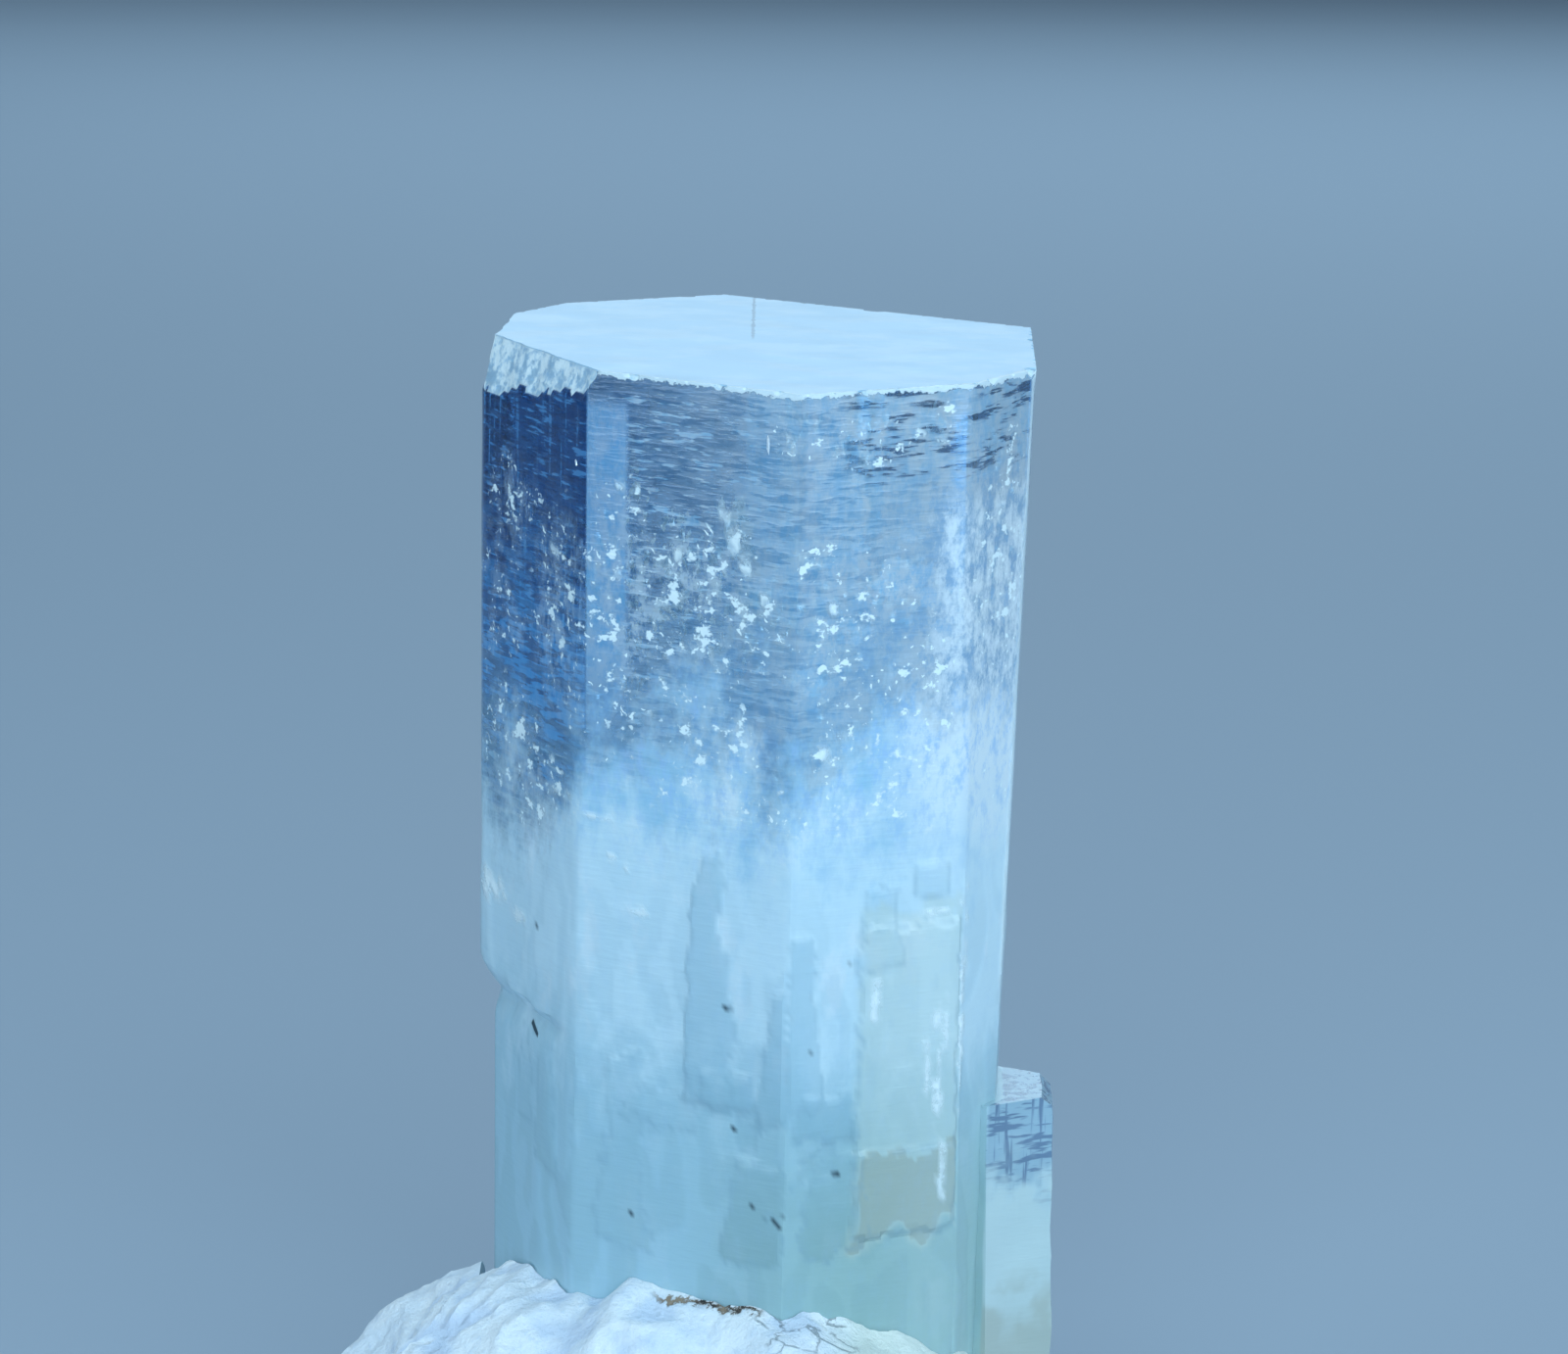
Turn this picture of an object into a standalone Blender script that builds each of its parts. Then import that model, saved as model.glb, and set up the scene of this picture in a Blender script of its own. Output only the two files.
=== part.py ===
"""Aquamarine crystal standing in its lump of white albite.

A six-sided prism of clear to milky blue beryl, flat on top, with a smaller prism grown
against its right side. Both are one solid. Its foot sits in a socket in the albite, whose
underside is flat, so that the specimen stands. Metres, +Z up, front towards -Y.
"""
import math

import bmesh
import bpy
from mathutils import Matrix, Vector, noise

MM = 0.001
SPECIMEN = "aquamarine specimen"

# Where the crystal's axis meets its top face, and how the crystal stands.
AXIS_X = 0.437 * MM
AXIS_Y = 0.137 * MM
TOP_Z = 27.5 * MM
LEAN_RIGHT = math.radians(1.3)
LEAN_BACK = math.radians(0.8)
FOOT_DEPTH = 26.0 * MM

# The prism's faces: bearing from the turned +X axis, distance from the axis at the top, and
# how many degrees the face leans in towards the foot.
PRISM_TURN = -1.2
PRISM_FACES = {
    "right": (0.0, 5.90 * MM, 1.4),
    "back_right": (60.0, 5.77 * MM, 1.4),
    "back_left": (120.0, 6.77 * MM, 1.4),
    "left_back": (150.0, 6.50 * MM, 0.6),
    "left": (180.0, 6.01 * MM, 0.6),
    "left_front": (210.0, 5.30 * MM, 0.6),
    "front_left": (240.0, 5.65 * MM, 1.4),
    "front_right": (300.0, 6.68 * MM, 1.4),
    "right_front": (330.0, 6.50 * MM, 0.6),
}

# Frosted breaks at the top of the left corner, each a plane through three points of the
# crystal's own frame, whose origin is where the axis meets the top face.
LEFT_CORNER_LOW = (-6.01 * MM, -0.06 * MM, -1.28 * MM)
LEFT_CORNER_HIGH = (-5.74 * MM, 0.33 * MM, 0.0)
BREAK_ENDS = (
    (-4.12 * MM, -3.54 * MM, -0.82 * MM),
    (-5.36 * MM, 4.12 * MM, 0.0),
)

# Growth step low on the left side, below which the prism is a little narrower.
# Its planes are bearing and distance from the axis at the top, and it dies out in front.
STEP_BELOW_TOP = 14.45 * MM
STEP_SLOPE = math.radians(67.0)
STEP_PLANES = (
    (150.0, 6.18 * MM),
    (180.0, 5.69 * MM),
    (204.0, 5.27 * MM),
)
STEP_TAPER = 0.6
STEP_BLOCK_REACH = 3.0 * MM
STEP_BLOCK_WIDTH = 12.0 * MM
STEP_BLOCK_SPARE = 2.0 * MM

# The smaller prism grown against the right side.
SIDE_X = 4.90 * MM
SIDE_Y = -2.45 * MM
SIDE_TOP_Z = 11.55 * MM
SIDE_FOOT_Z = 1.6 * MM
SIDE_APOTHEM = 1.43 * MM
SIDE_CORNER_CUT = 0.22 * MM

# Thin growth plates: face, offset along it from its middle, height of the foot below the
# top face, width at the foot, height, width at the head as a share, and rise.
PLATES = (
    ("front_right", 1.05, 18.35, 2.50, 6.80, 0.96, 0.14),
    ("front_right", 1.10, 18.28, 2.30, 1.90, 1.00, 0.22),
    ("front_right", 1.80, 10.90, 0.80, 0.65, 0.90, 0.10),
    ("front_right", -0.95, 15.90, 1.40, 0.80, 0.80, 0.12),
    ("front_left", 0.60, 15.50, 1.40, 5.55, 0.43, 0.13),
    ("front_left", 1.08, 15.42, 1.30, 0.72, 0.97, 0.21),
    ("front_left", 1.98, 15.65, 0.70, 2.80, 0.70, 0.12),
    ("left_front", 0.72, 17.75, 0.95, 2.45, 0.80, 0.12),
    ("back_left", -1.10, 19.00, 2.20, 9.50, 0.75, 0.16),
    ("back_left", 1.30, 18.60, 1.30, 5.00, 0.60, 0.12),
    ("back_right", 0.60, 19.20, 2.40, 7.40, 0.80, 0.15),
    ("right", 1.20, 17.60, 1.60, 8.20, 0.70, 0.12),
)
PLATE_ROOT = 0.9 * MM

# Chips along the top rim: bearing of the rim point, and radius of the bite. Each is bitten
# by a flattened, turned ball whose middle lies a little outside the rim.
CHIP_SHAPE = (1.0, 1.5, 0.7)
CHIP_SPIN = 17.0
CHIP_TILT = 20.0
CHIP_OUTSIDE = 0.55
RIM_CHIPS = (
    (-27.0, 0.55),
    (-45.0, 0.26),
    (-56.0, 0.20),
    (-71.0, 0.24),
    (-87.0, 0.20),
    (-98.0, 0.26),
    (-118.0, 0.32),
    (-131.0, 0.38),
    (12.0, 0.30),
    (64.0, 0.34),
    (104.0, 0.28),
)

# The albite lump: bearing, height where it meets the crystal, and reach of its foot.
LUMP_PROFILE = (
    (0.0, 3.7, 9.1),
    (35.0, 3.1, 9.0),
    (75.0, 3.3, 9.2),
    (110.0, 3.9, 9.3),
    (145.0, 5.1, 9.7),
    (178.0, 6.7, 10.2),
    (205.0, 7.6, 10.25),
    (222.0, 7.55, 10.2),
    (233.0, 7.45, 10.1),
    (243.0, 7.95, 10.0),
    (263.0, 8.1, 9.9),
    (279.0, 8.3, 9.8),
    (297.0, 7.1, 9.6),
    (310.0, 6.2, 9.4),
    (330.0, 5.0, 9.1),
)
LUMP_SEGMENTS = 144
LUMP_RINGS = 60
LUMP_FLATNESS = 4.0
LUMP_SHOULDER = 2.0
SOCKET_GAP = 0.30 * MM

# Relief of the albite: broad swells, the curved blades on the left, and elsewhere blocky
# grains, each a blunt peak with a slanting top, over small knobs.
RELIEF_AT_CRYSTAL = 0.12
RELIEF_CALM = 3.0 * MM
SWELL_SIZE = 3.6 * MM
SWELL_HEIGHT = 0.75 * MM
KNOB_SIZE = 1.25 * MM
KNOB_HEIGHT = 0.14 * MM
GRAIN_SIZE = (2.3 * MM, 2.3 * MM, 3.2 * MM)
GRAIN_HEIGHT = 1.25 * MM
GRAIN_TAPER = 0.95
GRAIN_SLANT = 0.90
GRAIN_LEVEL = 0.40
BLADE_PITCH = 1.30 * MM
BLADE_HEIGHT = 0.20 * MM
BLADE_BEARING = math.radians(62.0)
BLADE_RISE = 0.8
BLADE_BEND = 5.4
BLADES_MIDDLE = 190.0
BLADES_REACH = 62.0
BLADES_FADE = 26.0
RELIEF_LIFT = 0.2

# Pits in the albite: bearing, polar angle on the lump, and radius.
PITS = (
    (203.0, 53.0, 0.60),
    (216.0, 58.0, 0.55),
    (231.0, 47.0, 0.50),
    (254.0, 60.0, 0.60),
    (284.0, 62.0, 0.55),
    (318.0, 48.0, 0.55),
    (20.0, 52.0, 0.60),
    (96.0, 58.0, 0.65),
    (160.0, 50.0, 0.60),
)
PIT_STEEPNESS = 0.4

# Flat broken faces of the albite: bearing, how far each faces upwards, and distance from
# the foot of the axis.
BROKEN_FACES = (
    (12.0, 14.0, 8.30),
    (47.0, 38.0, 8.20),
    (70.0, 6.0, 8.25),
    (104.0, 30.0, 8.55),
    (131.0, 8.0, 8.70),
    (158.0, 36.0, 9.90),
    (178.0, 4.0, 9.85),
    (224.0, 8.0, 9.95),
    (268.0, 10.0, 9.35),
    (312.0, 16.0, 8.95),
    (340.0, 34.0, 8.60),
)


def clear_scene():
    for old in list(bpy.data.objects):
        bpy.data.objects.remove(old, do_unlink=True)


def new_collection(name):
    group = bpy.data.collections.new(name)
    bpy.context.scene.collection.children.link(group)
    return group


def new_object(name, bm, group):
    mesh = bpy.data.meshes.new(name)
    bm.to_mesh(mesh)
    bm.free()
    made = bpy.data.objects.new(name, mesh)
    group.objects.link(made)
    return made


def new_cutter(name, bm, group):
    cutter = new_object(name, bm, group)
    cutter.hide_render = True
    cutter.display_type = "WIRE"
    return cutter


def plain_material(name, colour, roughness):
    material = bpy.data.materials.new(name)
    material.use_nodes = True
    shader = material.node_tree.nodes["Principled BSDF"]
    shader.inputs["Base Color"].default_value = (*colour, 1.0)
    shader.inputs["Roughness"].default_value = roughness
    shader.inputs["Metallic"].default_value = 0.0
    return material


def boolean(target, operand, operation):
    step = target.modifiers.new(f"{operation.lower()} {operand.name}", "BOOLEAN")
    step.solver = "EXACT"
    step.operation = operation
    step.object = operand


def face_outwards(bm):
    if bm.calc_volume(signed=True) < 0.0:
        bmesh.ops.reverse_faces(bm, faces=bm.faces)


def cut_away(bm, point, normal):
    """Remove all beyond a plane, and close the cut with one flat face."""
    everything = bm.verts[:] + bm.edges[:] + bm.faces[:]
    cut = bmesh.ops.bisect_plane(
        bm, geom=everything, dist=1e-8, plane_co=point, plane_no=normal, clear_outer=True
    )
    rim = [part for part in cut["geom_cut"] if isinstance(part, bmesh.types.BMEdge)]
    if rim:
        bmesh.ops.edgeloop_fill(bm, edges=rim)


def bearing_vector(degrees):
    angle = math.radians(degrees)
    return Vector((math.cos(angle), math.sin(angle), 0.0))


def face_plane(name):
    """A prism face as a point on it and its outward normal, from the top of the axis."""
    bearing, distance, taper = PRISM_FACES[name]
    outward = bearing_vector(bearing + PRISM_TURN)
    taper = math.radians(taper)
    normal = outward * math.cos(taper) - Vector((0.0, 0.0, math.sin(taper)))
    return outward * distance, normal


def face_middle(name):
    """The middle of a face's top edge, and the direction along that edge."""
    names = list(PRISM_FACES)
    place = names.index(name)
    corner_before = rim_corner(names[place - 1], name)
    corner_after = rim_corner(name, names[(place + 1) % len(names)])
    along = (corner_after - corner_before).normalized()
    return (corner_before + corner_after) / 2, along


def rim_corner(first, second):
    """Where the top edges of two neighbouring faces meet."""
    bearing_a, distance_a, _ = PRISM_FACES[first]
    bearing_b, distance_b, _ = PRISM_FACES[second]
    a = bearing_vector(bearing_a + PRISM_TURN)
    b = bearing_vector(bearing_b + PRISM_TURN)
    span = a.x * b.y - a.y * b.x
    x = (distance_a * b.y - distance_b * a.y) / span
    y = (distance_b * a.x - distance_a * b.x) / span
    return Vector((x, y, 0.0))


def crystal_placement():
    """From the crystal's own frame, with its top at the origin, to the specimen's frame."""
    turn = Matrix.Rotation(LEAN_RIGHT, 4, "Y") @ Matrix.Rotation(-LEAN_BACK, 4, "X")
    return Matrix.Translation((AXIS_X, AXIS_Y, TOP_Z)) @ turn


def prism_mesh(grow):
    """The main prism in its own frame, each face moved outwards by grow."""
    bm = bmesh.new()
    bmesh.ops.create_cube(bm, size=4 * FOOT_DEPTH)
    for name in PRISM_FACES:
        point, normal = face_plane(name)
        cut_away(bm, point + normal * grow, normal)
    cut_away(bm, Vector((0.0, 0.0, grow)), Vector((0.0, 0.0, 1.0)))
    cut_away(bm, Vector((0.0, 0.0, -FOOT_DEPTH - grow)), Vector((0.0, 0.0, -1.0)))
    return bm


def break_corner(bm):
    """Cut the frosted breaks off the top of the left corner."""
    low = Vector(LEFT_CORNER_LOW)
    high = Vector(LEFT_CORNER_HIGH)
    for end in BREAK_ENDS:
        normal = (Vector(end) - low).cross(high - low).normalized()
        if normal.dot(low) < 0.0:
            normal.negate()
        cut_away(bm, low, normal)


def side_prism_mesh(grow):
    """The smaller prism, regular and upright, in the specimen's frame."""
    bm = bmesh.new()
    bmesh.ops.create_cube(bm, size=2 * TOP_Z)
    centre = Vector((AXIS_X + SIDE_X, AXIS_Y + SIDE_Y, 0.0))
    for side in range(6):
        outward = bearing_vector(60.0 * side + PRISM_TURN)
        cut_away(bm, centre + outward * (SIDE_APOTHEM + grow), outward)
    cut_away(bm, Vector((0.0, 0.0, SIDE_TOP_Z + grow)), Vector((0.0, 0.0, 1.0)))
    cut_away(bm, Vector((0.0, 0.0, SIDE_FOOT_Z - grow)), Vector((0.0, 0.0, -1.0)))
    slope = (bearing_vector(PRISM_TURN) + Vector((0.0, 0.0, 1.0))).normalized()
    corner = centre + bearing_vector(PRISM_TURN) * (SIDE_APOTHEM - SIDE_CORNER_CUT)
    cut_away(bm, Vector((corner.x, corner.y, SIDE_TOP_Z + grow)), slope)
    return bm


def plate_mesh(face, along, foot, width, height, head, rise):
    """A thin growth plate: a box on a prism face, narrower at its head."""
    middle, direction = face_middle(face)
    _, normal = face_plane(face)
    up = direction.cross(normal).normalized()
    if up.z < 0.0:
        up.negate()
    depth = PLATE_ROOT + rise * MM
    bm = bmesh.new()
    made = bmesh.ops.create_cube(bm, size=1.0)
    down = foot * MM
    base = middle + direction * (along * MM) - up * down
    for corner in made["verts"]:
        share = corner.co.z + 0.5
        half = width * MM * (1.0 + (head - 1.0) * share)
        outward = (corner.co.y + 0.5) * depth - PLATE_ROOT
        place = base + direction * (corner.co.x * half)
        corner.co = place + normal * outward + up * (share * height * MM)
    face_outwards(bm)
    return bm


def step_mesh(bearing, distance):
    """A block that takes the growth step off one side, from the step to the foot."""
    outward = bearing_vector(bearing + PRISM_TURN)
    sideways = Vector((-outward.y, outward.x, 0.0))
    lean = math.tan(math.radians(STEP_TAPER))
    bm = bmesh.new()
    made = bmesh.ops.create_cube(bm, size=1.0)
    for corner in made["verts"]:
        out = (corner.co.y + 0.5) * STEP_BLOCK_REACH
        height = -FOOT_DEPTH - STEP_BLOCK_SPARE
        if corner.co.z > 0.0:
            height = -STEP_BELOW_TOP + math.tan(STEP_SLOPE) * out
        place = outward * (distance + out + height * lean)
        corner.co = place + sideways * (corner.co.x * STEP_BLOCK_WIDTH)
        corner.co.z = height
    face_outwards(bm)
    return bm


def rim_reach(bearing, depth):
    """How far the prism reaches from its axis at a bearing, some way below the top."""
    outward = bearing_vector(bearing)
    reaches = []
    for angle, distance, taper in PRISM_FACES.values():
        facing = outward.dot(bearing_vector(angle + PRISM_TURN))
        if facing > 0.0:
            inset = depth * math.tan(math.radians(taper))
            reaches.append((distance - inset) / facing)
    return min(reaches)


def chip_mesh(bearing, radius):
    """A rough flat ball that bites a shell-shaped chip out of the top rim."""
    outside = CHIP_OUTSIDE * radius * MM
    centre = bearing_vector(bearing) * (rim_reach(bearing, 0.0) + outside)
    bm = bmesh.new()
    bmesh.ops.create_icosphere(bm, subdivisions=1, radius=radius * MM)
    squash = Matrix.Diagonal(CHIP_SHAPE)
    spin = Matrix.Rotation(math.radians(bearing + CHIP_SPIN), 3, "Z")
    tilt = Matrix.Rotation(math.radians(CHIP_TILT), 3, "X")
    for corner in bm.verts:
        corner.co = centre + spin @ tilt @ squash @ corner.co
    return bm


def smooth_share(share):
    return share * share * (3.0 - 2.0 * share)


def lump_at(bearing):
    """Height at the crystal and reach of the foot at any bearing, smoothly in between."""
    bearing = bearing % 360.0
    ring = list(LUMP_PROFILE) + [(LUMP_PROFILE[0][0] + 360.0, *LUMP_PROFILE[0][1:])]
    for here, after in zip(ring, ring[1:]):
        if here[0] <= bearing <= after[0]:
            share = smooth_share((bearing - here[0]) / (after[0] - here[0]))
            height = here[1] + (after[1] - here[1]) * share
            reach = here[2] + (after[2] - here[2]) * share
            return height * MM, reach * MM
    return ring[0][1] * MM, ring[0][2] * MM


def lump_point(bearing, polar):
    """A point of the smooth lump: polar runs from 0 at its top to 90 degrees at its foot."""
    rim_height, reach = lump_at(bearing)
    rim = rim_reach(bearing, TOP_Z - rim_height)
    fall = (1.0 - (rim / reach) ** LUMP_FLATNESS) ** (1.0 / LUMP_SHOULDER)
    outward = reach * max(math.sin(polar), 0.0) ** (2.0 / LUMP_FLATNESS)
    height = rim_height / fall * max(math.cos(polar), 0.0) ** (2.0 / LUMP_SHOULDER)
    return bearing_vector(bearing) * outward + Vector((0.0, 0.0, height))


def blade_share(bearing):
    """One where the curved blades lie, on the left, and none elsewhere."""
    away = abs((bearing - BLADES_MIDDLE + 180.0) % 360.0 - 180.0)
    return smooth_share(min(max((BLADES_REACH - away) / BLADES_FADE, 0.0), 1.0))


def grain_height(point):
    """The upper surface of blocky grains packed through the albite, at a point."""
    sized = Vector(place / size for place, size in zip(point, GRAIN_SIZE))
    distances, centres = noise.voronoi(sized)
    heights = []
    for distance, centre in zip(distances, centres):
        slant = noise.cell_vector(centre * 9.0) - Vector((0.5, 0.5, 0.5))
        heights.append(slant.dot(sized - centre) * GRAIN_SLANT - distance * GRAIN_TAPER)
    return (max(heights) + GRAIN_LEVEL) * GRAIN_HEIGHT


def blade_height(point, swell):
    """The curved ridges of the blades at a point, bent by the swell under them."""
    across = point.x * math.cos(BLADE_BEARING) - point.y * math.sin(BLADE_BEARING)
    across += point.z * BLADE_RISE + swell * BLADE_BEND
    return (0.5 - abs(across / BLADE_PITCH % 1.0 - 0.5) * 2.0) * BLADE_HEIGHT


def relief(point, bearing):
    """How far the albite's surface stands out from the smooth lump at a point."""
    away = math.hypot(point.x, point.y) - rim_reach(bearing, TOP_Z)
    open_share = min(max(away / RELIEF_CALM, 0.0), 1.0)
    calm = RELIEF_AT_CRYSTAL + (1.0 - RELIEF_AT_CRYSTAL) * open_share
    swell = noise.noise(point / SWELL_SIZE) * SWELL_HEIGHT * calm
    knobs = noise.noise(point / KNOB_SIZE + Vector((7.0, 3.0, 1.0))) * KNOB_HEIGHT
    share = blade_share(bearing)
    grains = grain_height(point) * calm * (1.0 - share)
    return swell + knobs + grains + blade_height(point, swell) * share


def pit_depth(point):
    """How deep the pits lie at a point of the smooth lump."""
    depth = 0.0
    for bearing, polar, radius in PITS:
        gap = (point - lump_point(bearing, math.radians(polar))).length
        depth = max(depth, PIT_STEEPNESS * (radius * MM - gap))
    return depth


def press_flat(point):
    """Bring a point that stands beyond a broken face down onto it."""
    for bearing, upwards, distance in BROKEN_FACES:
        rise = math.radians(upwards)
        facing = bearing_vector(bearing) * math.cos(rise)
        facing.z = math.sin(rise)
        beyond = point.dot(facing) - distance * MM
        if beyond > 0.0:
            point = point - facing * beyond
    return point


def lump_mesh():
    """The albite lump: a dome with lumps, blades, knobs and pits, cut flat underneath."""
    bm = bmesh.new()
    made = bmesh.ops.create_uvsphere(
        bm, u_segments=LUMP_SEGMENTS, v_segments=LUMP_RINGS, radius=1.0
    )
    for corner in made["verts"]:
        unit = corner.co.normalized()
        bearing = math.degrees(math.atan2(unit.y, unit.x))
        polar = math.acos(max(min(unit.z, 1.0), -1.0))
        if polar > math.pi / 2 + 1e-4:
            edge = lump_point(bearing, math.pi / 2)
            shrink = math.sin(polar)
            corner.co = Vector((edge.x * shrink, edge.y * shrink, -1.0 * MM))
            continue
        smooth = lump_point(bearing, polar)
        outward = Vector((unit.x, unit.y, unit.z + RELIEF_LIFT)).normalized()
        stand = relief(smooth, bearing) - pit_depth(smooth)
        corner.co = smooth + outward * stand
    for corner in bm.verts:
        corner.co = press_flat(corner.co)
    bmesh.ops.translate(bm, verts=bm.verts, vec=(AXIS_X, AXIS_Y, 0.0))
    cut_away(bm, Vector((0.0, 0.0, 0.0)), Vector((0.0, 0.0, -1.0)))
    bmesh.ops.triangulate(bm, faces=bm.faces)
    return bm


def make_crystal(parts, cutters):
    placement = crystal_placement()
    body = prism_mesh(0.0)
    break_corner(body)
    crystal = new_object("aquamarine_crystal", body, parts)
    crystal.matrix_world = placement
    crystal.data.materials.append(
        plain_material("aquamarine", (0.42, 0.70, 0.86), 0.12)
    )
    side = new_cutter("side prism", side_prism_mesh(0.0), cutters)
    boolean(crystal, side, "UNION")
    for number, plate in enumerate(PLATES):
        piece = new_cutter(f"growth plate {number}", plate_mesh(*plate), cutters)
        piece.matrix_world = placement
        boolean(crystal, piece, "UNION")
    for bearing, distance in STEP_PLANES:
        piece = new_cutter(f"growth step {bearing:.0f}", step_mesh(bearing, distance), cutters)
        piece.matrix_world = placement
        boolean(crystal, piece, "DIFFERENCE")
    for number, (bearing, radius) in enumerate(RIM_CHIPS):
        piece = new_cutter(f"rim chip {number}", chip_mesh(bearing, radius), cutters)
        piece.matrix_world = placement
        boolean(crystal, piece, "DIFFERENCE")


def make_matrix(parts, cutters):
    matrix = new_object("albite_matrix", lump_mesh(), parts)
    matrix.data.materials.append(plain_material("albite", (0.86, 0.90, 0.93), 0.75))
    socket = new_cutter("socket for the prism", prism_mesh(SOCKET_GAP), cutters)
    socket.matrix_world = crystal_placement()
    boolean(matrix, socket, "DIFFERENCE")
    side_socket = new_cutter("socket for the side prism", side_prism_mesh(SOCKET_GAP), cutters)
    boolean(matrix, side_socket, "DIFFERENCE")


def main():
    clear_scene()
    parts = new_collection(SPECIMEN)
    cutters = new_collection("cutters")
    make_crystal(parts, cutters)
    make_matrix(parts, cutters)


main()
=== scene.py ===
"""Aquamarine crystal on its lump of albite: the finished pieces, the light and the camera.

Lengths below are in millimetres, and made metres where the meshes are finished. The crystal
is built in its own frame first, with the middle of its flat top at the origin.
"""
import math
import random

import bmesh
import bpy
from mathutils import Matrix, Vector, noise


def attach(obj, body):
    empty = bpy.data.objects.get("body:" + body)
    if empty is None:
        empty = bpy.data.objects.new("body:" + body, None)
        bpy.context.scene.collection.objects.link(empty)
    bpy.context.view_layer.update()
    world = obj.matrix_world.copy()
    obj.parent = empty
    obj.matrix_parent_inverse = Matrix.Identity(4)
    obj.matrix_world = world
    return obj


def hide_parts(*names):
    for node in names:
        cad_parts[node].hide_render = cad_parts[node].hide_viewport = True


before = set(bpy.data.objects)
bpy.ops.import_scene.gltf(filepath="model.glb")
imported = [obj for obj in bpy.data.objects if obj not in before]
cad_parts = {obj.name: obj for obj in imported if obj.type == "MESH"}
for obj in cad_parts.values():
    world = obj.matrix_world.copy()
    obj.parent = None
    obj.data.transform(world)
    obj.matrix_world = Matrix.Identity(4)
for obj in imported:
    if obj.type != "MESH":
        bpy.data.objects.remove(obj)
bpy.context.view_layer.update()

MM = 0.001

# How the crystal stands.
AXIS_X = 0.437
AXIS_Y = 0.137
TOP_Z = 27.5
LEAN_RIGHT = math.radians(1.3)
LEAN_BACK = math.radians(0.8)
FOOT_DEPTH = 26.0
PRISM_TURN = -1.2

# The prism's faces: name, bearing, distance from the axis at the top, lean in towards the
# foot in degrees, and how many columns of mesh the face has.
PRISM_FACES = (
    ("right", 0.0, 5.90, 1.4, 20),
    ("back_right", 60.0, 5.77, 1.4, 26),
    ("back_left", 120.0, 6.77, 1.4, 16),
    ("left_back", 150.0, 6.50, 0.6, 14),
    ("left", 180.0, 6.01, 0.6, 20),
    ("left_front", 210.0, 5.30, 0.6, 34),
    ("front_left", 240.0, 5.65, 1.4, 50),
    ("front_right", 300.0, 6.68, 1.4, 46),
    ("right_front", 330.0, 6.50, 0.6, 26),
)

# The growth step low on the left side.
STEP_BELOW_TOP = 14.45
STEP_SLOPE = math.radians(67.0)
STEP_TAPER = math.radians(0.6)
STEP_RAGGED = 0.10
STEP_GROOVE = (0.16, 0.10, 0.28)
STEP_PLANES = (
    (150.0, 6.18),
    (180.0, 5.69),
    (204.0, 5.27),
)

# The frosted break at the top of the left corner.
BREAK_LOW = Vector((-6.01, -0.06, -1.28))
BREAK_HIGH = Vector((-5.74, 0.33, 0.0))
BREAK_ENDS = (
    Vector((-4.12, -3.54, -0.82)),
    Vector((-5.36, 4.12, 0.0)),
)

# The smaller prism against the right side.
SIDE_X = 4.90
SIDE_Y = -2.45
SIDE_TOP_Z = 11.55
SIDE_FOOT_Z = 1.6
SIDE_APOTHEM = 1.43
SIDE_CORNER_CUT = 0.22
SIDE_ROWS = 44
SIDE_COLUMN = 0.14


def mesh_object(name, bm):
    """Put a bmesh in the scene as an object at the origin, still in millimetres."""
    mesh = bpy.data.meshes.new(name)
    bm.to_mesh(mesh)
    bm.free()
    made = bpy.data.objects.new(name, mesh)
    bpy.context.scene.collection.objects.link(made)
    return made


def hand_in(piece, slot_name, material, *nodes):
    """Make a finished piece's millimetres metres, and tie it to the part."""
    piece.data.transform(Matrix.Scale(MM, 4))
    piece.data.materials.clear()
    piece.data.materials.append(material)
    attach(piece, "root")
    if nodes:
        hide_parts(*nodes)
    return piece


def remove_object(thing):
    mesh = thing.data
    bpy.data.objects.remove(thing, do_unlink=True)
    bpy.data.meshes.remove(mesh)


def bake_modifiers(piece):
    """Make the modifiers' result the piece's own mesh."""
    graph = bpy.context.evaluated_depsgraph_get()
    done = bpy.data.meshes.new_from_object(piece.evaluated_get(graph))
    old = piece.data
    piece.modifiers.clear()
    piece.data = done
    bpy.data.meshes.remove(old)


def combine(piece, other, operation):
    """Join another closed piece to this one, or cut it away, and use the other piece up."""
    step = piece.modifiers.new(operation.lower(), "BOOLEAN")
    step.operation = operation
    step.solver = "EXACT"
    step.object = other
    bake_modifiers(piece)
    remove_object(other)


def shade_by_angle(piece, degrees):
    mesh = piece.data
    mesh.shade_smooth()
    mesh.set_sharp_from_angle(angle=math.radians(degrees))


def bearing_vector(degrees):
    angle = math.radians(degrees)
    return Vector((math.cos(angle), math.sin(angle), 0.0))


def smooth_share(share):
    share = min(max(share, 0.0), 1.0)
    return share * share * (3.0 - 2.0 * share)


def crystal_placement():
    """From the crystal's own frame to the part's frame, both in millimetres."""
    turn = Matrix.Rotation(LEAN_RIGHT, 4, "Y") @ Matrix.Rotation(-LEAN_BACK, 4, "X")
    return Matrix.Translation((AXIS_X, AXIS_Y, TOP_Z)) @ turn


def face_reach(face, depth):
    """Distance of a prism face from the axis at a depth below the top."""
    _, _, distance, taper, _ = face
    return distance - depth * math.tan(math.radians(taper))


def face_outward(face):
    return bearing_vector(face[1] + PRISM_TURN)


def corner_between(first, second, depth):
    a, b = face_outward(first), face_outward(second)
    reach_a, reach_b = face_reach(first, depth), face_reach(second, depth)
    span = a.x * b.y - a.y * b.x
    x = (reach_a * b.y - reach_b * a.y) / span
    y = (reach_b * a.x - reach_a * b.x) / span
    return Vector((x, y, -depth))


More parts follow.
